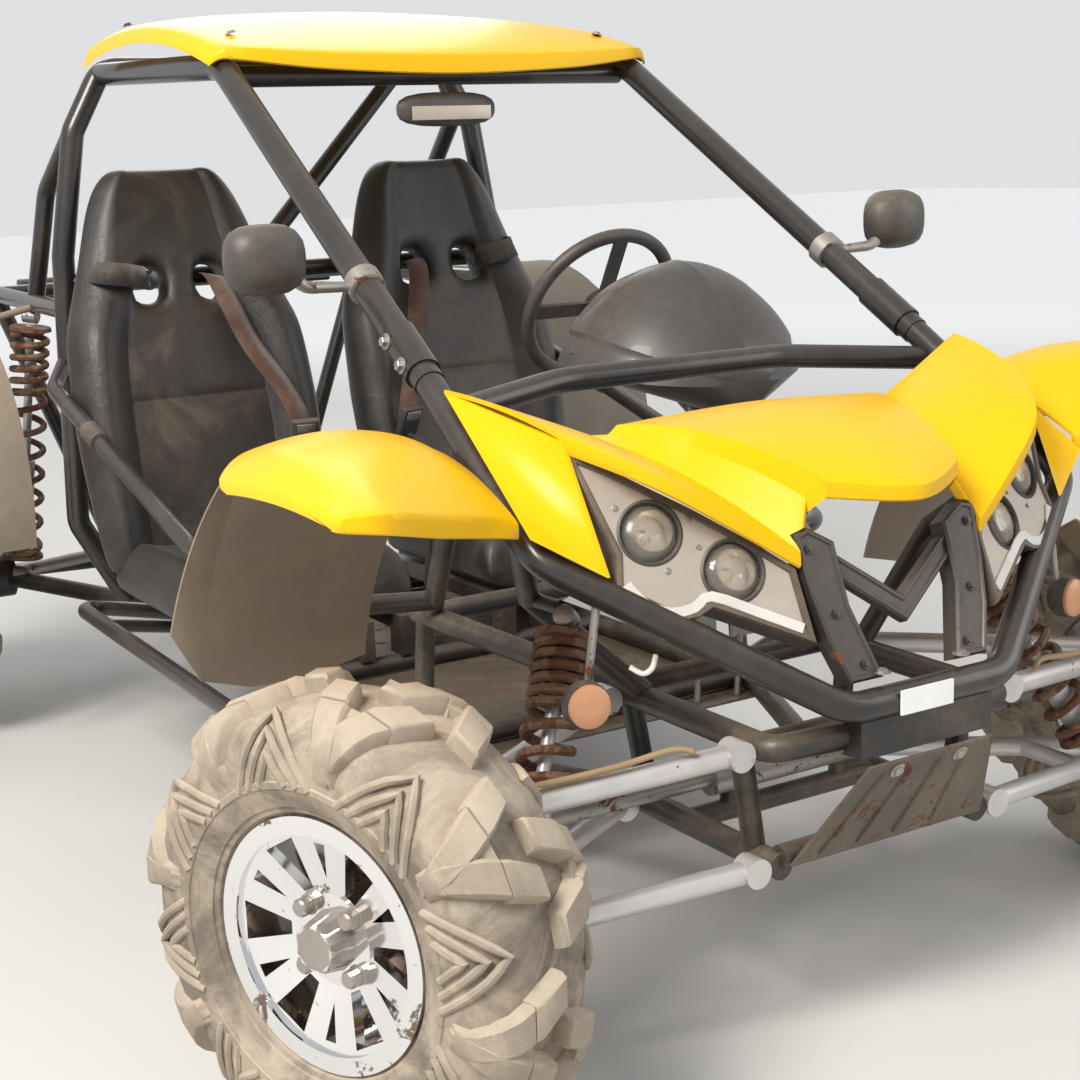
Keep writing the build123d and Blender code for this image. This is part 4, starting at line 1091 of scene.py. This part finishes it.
class BUGGY_OT_seats(Operator):
    """Make the two padded seats in place of the plain ones, and their belts"""

    bl_idname = "buggy.seats"
    bl_label = "Seats"

    def execute(self, context):
        sizes = context.scene.buggy_seats
        for name, side in SIDES:
            x = side * sizes.place_x
            build = bmesh.new()
            seat_back(build, at(x, *BACKREST_PLACE) @ about(-sizes.lean, "X"), sizes.bolster)
            seat_cushion(build, at(x, 0, CUSHION_HEIGHT), sizes.bolster)
            seat = add_piece(f"seat_cover_{name}", build, ["leather", "centre"])
            rounded = seat.modifiers.new("round", "SUBSURF")
            rounded.levels = 2
            rounded.render_levels = 2
            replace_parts(seat, f"seat_{name}")
            self.belts(name, side, sizes.belt_width)
            self.buckle(name, side)
        return {"FINISHED"}

    def belts(self, name, side, width):
        """The shoulder belts: one from the cage into the outer slot, one from the inner slot down."""
        for label, (line, facing, weave) in BELTS.items():
            points = eased(sided(line, side))
            build = bmesh.new()
            ribbon(build, points, Vector(sided([facing], side)[0]), width)
            belt = add_piece(f"belt_{label}_{name}", build, [weave])

    def buckle(self, name, side):
        """The buckle that the inner belt ends in, with its button and its stalk."""
        build = bmesh.new()
        middle = Vector((side * 0.127, 0.403, 0.707))
        place = Matrix.Translation(middle) @ Euler((radians(24), 0, side * 0.3)).to_matrix().to_4x4()
        rounded_box(build, place, (0.058, 0.016, 0.070), 0.004)
        rounded_box(build, place @ at(0, -0.009, 0.018), (0.040, 0.004, 0.020), 0.001, finish=1)
        stalk = sided([(0, 0.002, -0.03), (0.004, 0.03, -0.10), (0.004, 0.09, -0.19)], side)
        pipe(build, eased([middle + Vector(point) for point in stalk], 5), 0.007, 10)
        sharpen(add_piece(f"belt_buckle_{name}", build, ["shell", "steel"]))


# Springs


class SpringSettings(PropertyGroup):
    """Sizes of the springs."""

    wire: length_property("Wire", "Radius of the spring's wire", 0.0078)
    coils: FloatProperty(name="Coils", description="Turns of each spring", default=12, min=2)


SHOCKS = {
    # top and bottom on the left side, and the spring's radius
    "front": ((0.388, -1.040, 0.648), (0.575, -1.187, 0.258), 0.043),
    "rear": ((0.520, 1.020, 0.9644), (0.583, 1.080, 0.330), 0.046),
}
TIGHT_TURNS = 0.46
TIGHT_PITCH = 0.62
EYE_PROFILE = [(-0.018, 0.013), (-0.016, 0.016), (0.016, 0.016), (0.018, 0.013)]


def spring(build, top, bottom, radius, sizes):
    """A damper in a coil spring: tight turns at the top and wide ones below, between two seats."""
    place = along(top, bottom)
    length = (Vector(bottom) - Vector(top)).length
    start, stop = 0.050, length - 0.062
    reach = radius - sizes.wire
    tight_run = TIGHT_TURNS * TIGHT_PITCH
    wide_pitch = (1 - tight_run) / (1 - TIGHT_TURNS)
    points = []
    steps = int(sizes.coils * 20)
    for step in range(steps + 1):
        share = step / steps
        run = share * TIGHT_PITCH if share < TIGHT_TURNS else tight_run + (share - TIGHT_TURNS) * wide_pitch
        turn = tau * sizes.coils * share
        points.append(place @ Vector((reach * cos(turn), reach * sin(turn), start + run * (stop - start))))
    pipe(build, points, sizes.wire, 8)
    upper_seat = [(0.034, 0.012), (0.036, radius), (0.044, radius + 0.002), (0.048, radius - 0.01),
                  (0.06, 0.02)]
    spin(build, upper_seat, place, 28)
    lower_seat = [(0.066, 0.02), (0.060, radius), (0.052, radius + 0.002), (0.046, 0.015)]
    spin(build, [(length - back, wide) for back, wide in lower_seat], place, 28)
    damper = [(0.03, 0.010), (0.55 * length, 0.010), (0.55 * length, 0.021), (0.9 * length, 0.021),
              (0.93 * length, 0.014)]
    spin(build, damper, place, 24, 1)
    for end in (0.012, length - 0.012):
        spin(build, EYE_PROFILE, place @ at(0, 0, end) @ about(pi / 2, "X"), 20, 2)


class BUGGY_OT_springs(Operator):
    """Make the coil springs and dampers in place of the plain sleeves"""

    bl_idname = "buggy.springs"
    bl_label = "Springs"

    def execute(self, context):
        sizes = context.scene.buggy_springs
        for end, (top, bottom, radius) in SHOCKS.items():
            build = bmesh.new()
            for _, side in SIDES:
                spring(build, *sided((top, bottom), side), radius, sizes)
            piece = add_piece(f"{end}_springs", build, ["spring", "arm", "steel"])
            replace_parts(sharpen(piece), f"{end}_shocks")
        return {"FINISHED"}


# Lamps


class LampSettings(PropertyGroup):
    """Sizes of the lamps."""

    lens: length_property("Lens", "Radius of a headlamp lens", 0.042)


LAMP_NORMAL = Vector((0.287, -0.874, 0.393)).normalized()
LAMP_CENTRES = (Vector((0.355, -1.203, 0.784)), Vector((0.258, -1.260, 0.726)))
LAMP_ORIGIN = Vector((0.300, -1.230, 0.750))
LAMP_ACROSS = Vector((0.95, 0.312, 0)).normalized()
LAMP_OUTLINE = [(436, -1118, 889), (424, -1161, 822), (409, -1196, 759), (419, -1211, 718), (407, -1225, 697),
                (390, -1238, 680), (358, -1254, 667), (320, -1264, 672), (298, -1267, 682), (243, -1296, 657),
                (172, -1335, 624), (172, -1287, 722), (223, -1252, 762), (291, -1207, 809), (383, -1150, 866)]
LAMP_FRAME = ((0.0, -0.004), (0.0015, 0.0045), (0.009, 0.0045), (0.012, 0.0008))
BOWL_PROFILE = [(-0.041, 0.008), (-0.040, 0.014), (-0.034, 0.024), (-0.022, 0.034), (-0.012, 0.0395)]
BULB_PROFILE = [(-0.041, 0.0085), (-0.024, 0.0075), (-0.020, 0.003)]
BEZEL_PROFILE = [(-0.012, 0.0405), (-0.002, 0.0405), (0.002, 0.0415), (0.004, 0.0435), (0.002, 0.0465),
                 (-0.001, 0.0475)]
BEZEL_HOLE = 0.0465
BEZEL_BOLTS = (0.7, 2.9, 4.4)
BEZEL_BOLT_CIRCLE = 0.058
TURN_LAMP = ((0.470, -1.222, 0.562), (0.462, -1.180, 0.560))
TURN_LENS = [(0.000, 0.012), (0.001, 0.022), (0.005, 0.030), (0.014, 0.0315)]
TURN_CUP = [(0.010, 0.0325), (0.013, 0.033), (0.030, 0.033), (0.042, 0.026)]
TURN_STEM = [(0.455, -1.190, 0.575), (0.448, -1.188, 0.62), (0.437, -1.188, 0.690)]
TAIL_LAMP = (0.380, 1.4223, 0.985)


def inset(corners, distance):
    """A flat outline moved inwards by a distance, with its sharp corners cut short."""
    turning = sum(a.cross(b) for a, b in zip(corners, corners[1:] + corners[:1]))
    sign = 1 if turning > 0 else -1
    moved = []
    for index, here in enumerate(corners):
        before = (here - corners[index - 1]).normalized()
        after = (corners[(index + 1) % len(corners)] - here).normalized()
        normal = Vector((-before.y - after.y, before.x + after.x)).normalized() * sign
        across = max(0.5, normal.dot(Vector((-before.y, before.x)) * sign))
        moved.append(here + normal * distance / across)
    return moved


def lamp_spot(centre):
    """The point on the plane of the headlamp's face that is nearest to a centre."""
    return centre - LAMP_NORMAL * (centre - LAMP_ORIGIN).dot(LAMP_NORMAL)


def lamp_place(centre, side):
    """A place on the face of a headlamp, with +Z out of it."""
    turn = Matrix((LAMP_ACROSS, LAMP_NORMAL.cross(LAMP_ACROSS), LAMP_NORMAL)).transposed().to_4x4()
    return turned(Matrix.Translation(lamp_spot(centre)) @ turn, side)


class BUGGY_OT_lamps(Operator):
    """Make the headlamps' bowls, bezels and lenses, and the small lamps"""

    bl_idname = "buggy.lamps"
    bl_label = "Lamps"

    def execute(self, context):
        lens = context.scene.buggy_lamps.lens
        dome = [(-0.014, lens - 0.001), (-0.010, lens - 0.001), (-0.004, 0.9 * lens), (0.002, 0.7 * lens),
                (0.0055, 0.42 * lens), (0.007, 0.12 * lens)]
        glass = bmesh.new()
        bowls = bmesh.new()
        for _, side in SIDES:
            for centre in LAMP_CENTRES:
                place = lamp_place(centre, side)
                spin(glass, dome, place, 40)
                spin(bowls, BOWL_PROFILE, place, 40, 1, close_ends=False)
                spin(bowls, BULB_PROFILE, place, 16, 1)
                spin(bowls, BEZEL_PROFILE, place, 48, 0, close_ends=False)
                for turn in BEZEL_BOLTS:
                    spot = place @ at(BEZEL_BOLT_CIRCLE * cos(turn), BEZEL_BOLT_CIRCLE * sin(turn), 0)
                    bolt(bowls, spot, 0.0035, 0.004, 2)
            self.surround(bowls, side)
        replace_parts(add_piece("headlamp_domes", glass, ["glass"]), "headlamp_lenses")
        finishes = ["shell", "reflector", "steel", "lamp", "lamp_pale", "strip"]
        sharpen(add_piece("headlamp_bowls", bowls, finishes))
        self.turn_lamps()
        self.tail_lamps()
        return {"FINISHED"}

    def surround(self, build, side):
        """The frame round a headlamp's face, the pale plate inside it and the strip along its foot."""
        back = lamp_place(LAMP_ORIGIN, 1).inverted()
        move = lamp_place(LAMP_ORIGIN, side)
        corners = [(back @ (Vector(spot) / 1000)).to_2d() for spot in LAMP_OUTLINE]

        def lifted(loop, height):
            return [move @ Vector((*spot, height)) for spot in loop]

        loft(build, [lifted(inset(corners, distance), height) for distance, height in LAMP_FRAME], finish=3)
        loops = [inset(corners, 0.011)]
        for centre in LAMP_CENTRES:
            spot = (back @ lamp_spot(centre)).to_2d()
            loops.append([spot + Vector(point) * BEZEL_HOLE for point in circle(40)])
        edges = []
        for loop in loops:
            verts = [build.verts.new(point) for point in lifted(loop, 0.0012)]
            edges += [build.edges.new(pair) for pair in zip(verts, verts[1:] + verts[:1])]
        filled = bmesh.ops.triangle_fill(build, use_beauty=True, edges=edges)
        for face in (item for item in filled["geom"] if isinstance(item, bmesh.types.BMFace)):
            face.material_index = 4
        foot = eased(lifted(inset(corners, 0.0145)[3:11], 0.0035), 3)
        ribbon(build, foot, move.to_3x3() @ Vector((0, 0, 1)), 0.014, 0.003, 5)

    def turn_lamps(self):
        """The turn lamps in their cups, each on a bent stem."""
        build = bmesh.new()
        for _, side in SIDES:
            place = turned(along(*TURN_LAMP), side)
            spin(build, TURN_LENS, place, 32, 0)
            spin(build, TURN_CUP, place, 32, 1)
            pipe(build, eased(sided(TURN_STEM, side), 4), 0.006, 10, 2)
        piece = add_piece("turn_lamp_cups", build, ["amber", "shell", "steel"])
        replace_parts(sharpen(piece), "turn_lamps")

    def tail_lamps(self):
        """The tail lamps: a dark box behind a red lens."""
        build = bmesh.new()
        for place in sided([TAIL_LAMP], 1) + sided([TAIL_LAMP], -1):
            rounded_box(build, at(*place), (0.100, 0.030, 0.056), 0.006, finish=1)
            rounded_box(build, at(*place) @ at(0, 0.0165, 0), (0.088, 0.006, 0.044), 0.0025)
        piece = add_piece("tail_lamp_lenses", build, ["red", "shell"])
        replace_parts(sharpen(piece), "tail_lamps")


# Small fittings


class FittingSettings(PropertyGroup):
    """Sizes of the small fittings."""

    bolt: length_property("Bolt", "Radius of a bolt head", 0.008)


MIRROR_ROWS = ((-0.030, 0.10), (-0.0285, 0.38), (-0.022, 0.68), (-0.008, 0.92), (0.010, 1.0), (0.026, 0.98),
               (0.030, 0.93))
DOOR_MIRROR = (0.635, -0.621, 1.145)
DOOR_MIRROR_ARM = [(0.600, -0.617, 1.122), (0.574, -0.615, 1.102), (0.540, -0.610, 1.098),
                   (0.500, -0.606, 1.096)]
CABIN_MIRROR_STEM = [(0, -0.050, 1.402), (0, -0.043, 1.411), (0, -0.037, 1.419)]
PILLAR_FOOT = Vector((0.482, -0.830, 0.963))
PILLAR_TOP = Vector((0.438, -0.020, 1.457))
SKID_MIDDLE = Vector((0, -1.334, 0.371))
SKID_OUT = Vector((0, -0.87, -0.49)).normalized()
SKID_RISE = Vector((0, -0.49, 0.87))
SKID_RIBS = ((-0.080, -0.140), (-0.030, -0.070), (0.025, 0.000), (0.075, 0.075))
SKID_BOLT = (0.060, -1.36816, 0.432)
NOSE_BOLTS = [(0.075, -1.356, 0.5703), (-0.075, -1.356, 0.5703)]
ROOF_BOLTS = [(0.400, 0.02, 1.5175), (0.400, 0.56, 1.568)]
SIDE_BAR_CLAMP = (0.606, 0.362, 0.758)
SIDE_BAR_AXIS = Vector((0, -0.740, -0.215)).normalized()
BRAKE_HOSE = [(0.330, -1.262, 0.482), (0.360, -1.250, 0.488), (0.440, -1.232, 0.476), (0.540, -1.206, 0.466),
              (0.640, -1.182, 0.462), (0.690, -1.196, 0.440), (0.700, -1.224, 0.400)]
LOOSE_HOSE = [(0.392, -1.200, 0.600), (0.380, -1.214, 0.592), (0.366, -1.216, 0.598), (0.354, -1.208, 0.612)]
ENGINE_BOXES = [
    # centre, size, rounding and finish: crankcase, its top, drive cover, air box, feet
    ((0, 1.060, 0.420), (0.300, 0.396, 0.166), 0.022, 0),
    ((0.030, 1.110, 0.520), (0.230, 0.260, 0.080), 0.020, 0),
    ((0.170, 1.060, 0.430), (0.040, 0.190, 0.150), 0.012, 1),
    ((0.060, 1.190, 0.610), (0.120, 0.100, 0.100), 0.016, 1),
    *(((x, y, 0.338), (0.050, 0.036, 0.030), 0.006, 1) for x in (0.11, -0.11) for y in (0.90, 1.22)),
]
CYLINDER_PLACE = at(-0.010, 0.985, 0.520) @ about(radians(-14), "X")
DRIVE_COVER = at(0.150, 1.060, 0.430) @ about(pi / 2, "Y")
DRIVE_WHEELS = ((0.085, 0.085), (-0.100, 0.088))
FAN_PLACE = at(-0.150, 1.060, 0.440) @ about(-pi / 2, "Y")
FAN_PROFILE = [(0, 0.092), (0.034, 0.092), (0.046, 0.080), (0.046, 0.030), (0.030, 0.028), (0.030, 0.004)]
FAN_BLADES = 12
INTAKE_PLACE = at(-0.060, 1.180, 0.590) @ about(pi / 2, "Y")
INTAKE_PROFILE = [(-0.065, 0.030), (-0.060, 0.046), (0.060, 0.046), (0.065, 0.030)]
INTAKE_PIPE = [(-0.030, 1.040, 0.600), (-0.045, 1.080, 0.630), (-0.055, 1.130, 0.620), (-0.060, 1.165, 0.600)]
ENGINE_HOSE = [(0.030, 0.930, 0.580), (0.080, 0.890, 0.560), (0.110, 0.880, 0.480), (0.100, 0.890, 0.400)]


def mirror_shell(build, place, width, height):
    """A rounded mirror housing with its glass, of the second finish, on the +Y face."""
    rings = []
    for y, share in MIRROR_ROWS:
        ring = []
        for x, z in circle(24):
            reach = share / 2 * (abs(x) ** 3 + abs(z) ** 3) ** (-1 / 3)
            ring.append(place @ Vector((width * reach * x, y, height * reach * z)))
        rings.append(ring)
    rows = loft(build, rings)
    build.faces.new(rows[0])
    build.faces.new(rows[-1][::-1]).material_index = 1


class BUGGY_OT_fittings(Operator):
    """Make the mirrors and the engine in place of the plain ones, the bolt heads and the hoses"""

    bl_idname = "buggy.fittings"
    bl_label = "Fittings"

    def execute(self, context):
        self.mirrors()
        self.bolts(context.scene.buggy_fittings.bolt)
        self.hoses()
        self.engine()
        return {"FINISHED"}

    def engine(self):
        """The open engine: a ribbed crankcase, a finned cylinder, the drive cover, fan and filter."""
        build = bmesh.new()
        for centre, size, bevel, finish in ENGINE_BOXES:
            rounded_box(build, at(*centre), size, bevel, finish=finish)
        for k in range(7):
            rounded_box(build, at(0, 0.900 + 0.053 * k, 0.368), (0.330, 0.008, 0.060), 0.002, 2)
        rounded_box(build, CYLINDER_PLACE @ at(0, 0, 0.050), (0.120, 0.120, 0.110), 0.014)
        for k in range(9):
            fin = CYLINDER_PLACE @ at(0, 0, 0.010 + 0.0095 * k)
            rounded_box(build, fin, (0.168, 0.160, 0.0035), 0.0012, 2)
        rounded_box(build, CYLINDER_PLACE @ at(0, 0, 0.108), (0.150, 0.140, 0.030), 0.010, finish=1)
        for shift, radius in DRIVE_WHEELS:
            profile = [(0, radius), (0.030, radius), (0.042, 0.92 * radius), (0.046, 0.6 * radius),
                       (0.044, 0.2 * radius), (0.048, 0.05 * radius)]
            spin(build, profile, DRIVE_COVER @ at(0, shift, 0), 40, 1)
        spin(build, FAN_PROFILE, FAN_PLACE, 40, 1)
        for k in range(FAN_BLADES):
            blade = FAN_PLACE @ about(tau * k / FAN_BLADES, "Z") @ at(0.055, 0, 0.046) @ about(0.6, "X")
            rounded_box(build, blade, (0.046, 0.004, 0.006), 0.0012, 2)
        spin(build, INTAKE_PROFILE, INTAKE_PLACE, 32, 1)
        pipe(build, eased(INTAKE_PIPE), 0.020, 16, 1)
        pipe(build, eased(ENGINE_HOSE), 0.012, 12, 2)
        piece = add_piece("engine_parts", build, ["engine", "shell", "hose_tan"])
        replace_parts(sharpen(piece), "engine")

    def mirrors(self):
        """The door mirrors on their arms, with a clamp on each pillar, and the cabin mirror."""
        build = bmesh.new()
        for _, side in SIDES:
            place, foot, top = (Vector(spot) for spot in sided((DOOR_MIRROR, PILLAR_FOOT, PILLAR_TOP), side))
            mirror_shell(build, Matrix.Translation(place), 0.128, 0.108)
            tube = eased(sided(DOOR_MIRROR_ARM, side), 5)
            pipe(build, tube, [0.011 - 0.003 * k / 15 for k in range(len(tube))], 12, 2)
            clamp = [(0, 0.0255), (0.002, 0.030), (0.030, 0.030), (0.032, 0.0255)]
            spin(build, clamp, along(foot.lerp(top, 0.255), foot.lerp(top, 0.290)), 24, 2)
        outside = add_piece("door_mirror_shells", build, ["shell", "mirror", "steel"])
        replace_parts(sharpen(outside, 50), "door_mirrors")
        build = bmesh.new()
        place = at(0, -0.060, 1.374) @ Matrix.Scale(0.5, 4, (0, 1, 0))
        mirror_shell(build, place, 0.214, 0.064)
        rounded_box(build, at(0, -0.0753, 1.367), (0.172, 0.002, 0.026), 0.0008, finish=3)
        pipe(build, CABIN_MIRROR_STEM, 0.007, 12, 2)
        finishes = ["shell", "mirror", "steel", "lamp_pale"]
        inside = add_piece("cabin_mirror_shell", build, finishes)
        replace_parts(sharpen(inside, 50), "cabin_mirror")

    def bolts(self, radius):
        """Bolt heads on the pillars, nose, skid plate and roof, with the plate's ribs and two clamps."""
        build = bmesh.new()
        up = (PILLAR_TOP - PILLAR_FOOT).normalized()
        out = Vector((1, -0.2, 0))
        out = (out - up * up.dot(out)).normalized()
        for _, side in SIDES:
            for reach in (0.045, 0.105):
                start = PILLAR_FOOT + up * reach + out * 0.0275
                bolt(build, turned(along(start, start + out), side), radius, 0.010)
            for x, y, z in sided(ROOF_BOLTS, side):
                spot = Vector((x, y, z))
                bolt(build, along(spot, spot + Vector((side * 0.25, 0, 1))), 0.007, 0.006)
            clamp = Vector(sided([SIDE_BAR_CLAMP], side)[0])
            ring = [(-0.034, 0.0175), (-0.033, 0.0212), (0.033, 0.0212), (0.034, 0.0175)]
            spin(build, ring, along(clamp, clamp + SIDE_BAR_AXIS), 24, 2)
            spot = Vector(sided([SKID_BOLT], side)[0]) + SKID_OUT * 0.0052
            bolt(build, along(spot, spot + SKID_OUT), radius, 0.006)
        for top, foot in SKID_RIBS:
            face = SKID_MIDDLE + SKID_OUT * 0.004
            start = face + Vector((top, 0, 0)) + SKID_RISE * 0.070
            end = face + Vector((foot, 0, 0)) - SKID_RISE * 0.080
            rib_line = [start, start.lerp(end, 0.04), start.lerp(end, 0.96), end]
            pipe(build, rib_line, [0.002, 0.0055, 0.0055, 0.002], 10, 1)
        for x, y, z in NOSE_BOLTS:
            bolt(build, along((x, y, z), (x, y, z + 1)), radius, 0.006)
        sharpen(add_piece("bolt_heads", build, ["steel", "plate", "shell"]), 30)

    def hoses(self):
        """A brake hose along each upper arm, and a loose end of pale hose above it."""
        build = bmesh.new()
        for _, side in SIDES:
            pipe(build, eased(sided(BRAKE_HOSE, side)), 0.0045, 10)
            pipe(build, eased(sided(LOOSE_HOSE, side)), 0.004, 10, 1)
        add_piece("brake_hoses", build, ["hose_tan", "hose_pale"])


# Stage


class StageSettings(PropertyGroup):
    """Stage and light."""

    floor: colour_property("Floor", "Colour of the floor", (0.66, 0.64, 0.61))
    backdrop: colour_property("Backdrop", "Colour behind the vehicle", (0.74, 0.75, 0.76))
    key: FloatProperty(name="Key light", description="Power of the key light", default=520, min=0)
    fill: FloatProperty(name="Fill light", description="Power of the fill light", default=60, min=0)
    sky: FloatProperty(name="Sky", description="Strength of the world's light", default=0.55, min=0)


def background_rays(tree):
    """1 for the rays on which the background is seen: from the camera, in metal and through glass."""
    path = tree.nodes.new("ShaderNodeLightPath")
    total = path.outputs["Is Camera Ray"]
    for kind in ("Is Glossy Ray", "Is Transmission Ray"):
        both = tree.nodes.new("ShaderNodeMath")
        both.operation = "ADD"
        both.use_clamp = True
        tree.links.new(total, both.inputs[0])
        tree.links.new(path.outputs[kind], both.inputs[1])
        total = both.outputs[0]
    return total


LIGHTS = [
    # name, setting of its power, place, target, size, colour
    ("key", "key", (-4.4, -2.6, 5.2), (0, -0.2, 0.5), 2.4, (1.0, 0.97, 0.92)),
    ("fill", "fill", (3.8, -3.4, 2.4), (0, 0, 0.7), 3.0, (0.95, 0.97, 1.0)),
    ("back", "fill", (1.5, 4.2, 3.6), (0, 0, 1.0), 2.5, (1.0, 0.98, 0.95)),
]
SKY_COLOUR = (0.90, 0.95, 1.0, 1)
FLOOR_DROP = 0.0008
PHOTO_TURN = 0.553392363, 0.215554422, -0.0329090711
PHOTO_PLACE = Vector((-1.73480, -3.15086, 1.30002))
PHOTO_PIXELS = 1080
FOCUS_PIXELS = 1800.25
SENSOR = 36


def area_light(name, power, place, target, size, colour):
    """A soft square light at a place, turned to a target."""
    light = bpy.data.lights.new(name, "AREA")
    light.size = size
    light.energy = power
    light.color = colour
    lamp = bpy.data.objects.new(name, light)
    bpy.context.collection.objects.link(lamp)
    lamp.location = place
    lamp.rotation_euler = (Vector(target) - Vector(place)).to_track_quat("-Z", "Y").to_euler()


class BUGGY_OT_stage(Operator):
    """Make the floor, the lights and the camera at the photograph's angle"""

    bl_idname = "buggy.stage"
    bl_label = "Stage"

    def execute(self, context):
        settings = context.scene.buggy_stage
        self.floor(context, settings)
        self.sky(context, settings)
        for name, setting, *values in LIGHTS:
            area_light(name, getattr(settings, setting), *values)
        self.camera(context)
        context.scene.view_settings.view_transform = "Standard"
        return {"FINISHED"}

    def floor(self, context, settings):
        """A wide pale floor that glows into the backdrop far away."""
        build = bmesh.new()
        bmesh.ops.create_grid(build, x_segments=1, y_segments=1, size=30)
        mesh = bpy.data.meshes.new("floor")
        build.to_mesh(mesh)
        build.free()
        ground = bpy.data.objects.new("floor", mesh)
        context.collection.objects.link(ground)
        ground.location.z = -FLOOR_DROP
        shader = Shader("floor")
        distance = shader.node("ShaderNodeVectorMath", operation="LENGTH")
        shader.plug(shader.place, distance.inputs[0])
        far = shader.ramp(distance.outputs["Value"], 3.0, 10.0, 0, 0.62)
        glow = shader.sums("MULTIPLY", far, background_rays(shader.material.node_tree))
        shader.set(Base_Color=tuple(settings.floor), Roughness=0.9, Emission_Color=tuple(settings.backdrop),
                   Emission_Strength=glow)
        mesh.materials.append(shader.material)

    def sky(self, context, settings):
        """The world: a pale sky that lights the vehicle, and the backdrop that is seen behind it."""
        world = bpy.data.worlds.new("studio")
        world.use_nodes = True
        tree = world.node_tree
        light = tree.nodes["Background"]
        light.inputs["Color"].default_value = SKY_COLOUR
        light.inputs["Strength"].default_value = settings.sky
        seen = tree.nodes.new("ShaderNodeBackground")
        seen.inputs["Color"].default_value = (*settings.backdrop, 1)
        seen.inputs["Strength"].default_value = 1
        which = tree.nodes.new("ShaderNodeMixShader")
        tree.links.new(background_rays(tree), which.inputs[0])
        tree.links.new(light.outputs[0], which.inputs[1])
        tree.links.new(seen.outputs[0], which.inputs[2])
        tree.links.new(which.outputs[0], tree.nodes["World Output"].inputs["Surface"])
        context.scene.world = world

    def camera(self, context):
        """The camera, at the photograph's place, turn and roll."""
        yaw, pitch, roll = PHOTO_TURN
        look = Vector((sin(yaw) * cos(pitch), cos(yaw) * cos(pitch), -sin(pitch)))
        right = Vector((cos(yaw), -sin(yaw), 0))
        up = right.cross(look)
        across = right * cos(roll) + up * sin(roll)
        rise = up * cos(roll) - right * sin(roll)
        lens = bpy.data.cameras.new("photo_view")
        lens.sensor_width = SENSOR
        lens.lens = SENSOR * FOCUS_PIXELS / PHOTO_PIXELS
        view = bpy.data.objects.new("photo_view", lens)
        context.collection.objects.link(view)
        turn = Matrix((across, rise, -look)).transposed().to_4x4()
        view.matrix_world = Matrix.Translation(PHOTO_PLACE) @ turn
        context.scene.camera = view


class BUGGY_PT_panel(Panel):
    """Sidebar panel with the buggy's steps and settings"""

    bl_idname = "BUGGY_PT_panel"
    bl_label = "Dune buggy"
    bl_space_type = "VIEW_3D"
    bl_region_type = "UI"
    bl_category = "Buggy"

    def draw(self, context):
        layout = self.layout
        for operator in OPERATORS:
            layout.operator(operator.bl_idname)
        for name, group in SETTINGS.items():
            box = layout.box()
            box.label(text=group.__doc__)
            for field in group.__annotations__:
                box.prop(getattr(context.scene, name), field)


SETTINGS = {
    "buggy_finish": FinishSettings,
    "buggy_panels": PanelSettings,
    "buggy_tyres": TyreSettings,
    "buggy_seats": SeatSettings,
    "buggy_springs": SpringSettings,
    "buggy_lamps": LampSettings,
    "buggy_fittings": FittingSettings,
    "buggy_stage": StageSettings,
}
OPERATORS = (BUGGY_OT_finishes, BUGGY_OT_panels, BUGGY_OT_tyres, BUGGY_OT_seats, BUGGY_OT_springs,
             BUGGY_OT_lamps, BUGGY_OT_fittings, BUGGY_OT_stage)
CLASSES = (*SETTINGS.values(), *OPERATORS, BUGGY_PT_panel)


def register():
    """Adds the classes and the scene's settings."""
    for cls in CLASSES:
        bpy.utils.register_class(cls)
    for name, group in SETTINGS.items():
        setattr(bpy.types.Scene, name, PointerProperty(type=group))


def unregister():
    """Takes the settings and classes away again."""
    for name in SETTINGS:
        delattr(bpy.types.Scene, name)
    for cls in reversed(CLASSES):
        bpy.utils.unregister_class(cls)


def main():
    register()
    for operator in OPERATORS:
        group, name = operator.bl_idname.split(".")
        getattr(getattr(bpy.ops, group), name)()


if __name__ == "__main__":
    main()
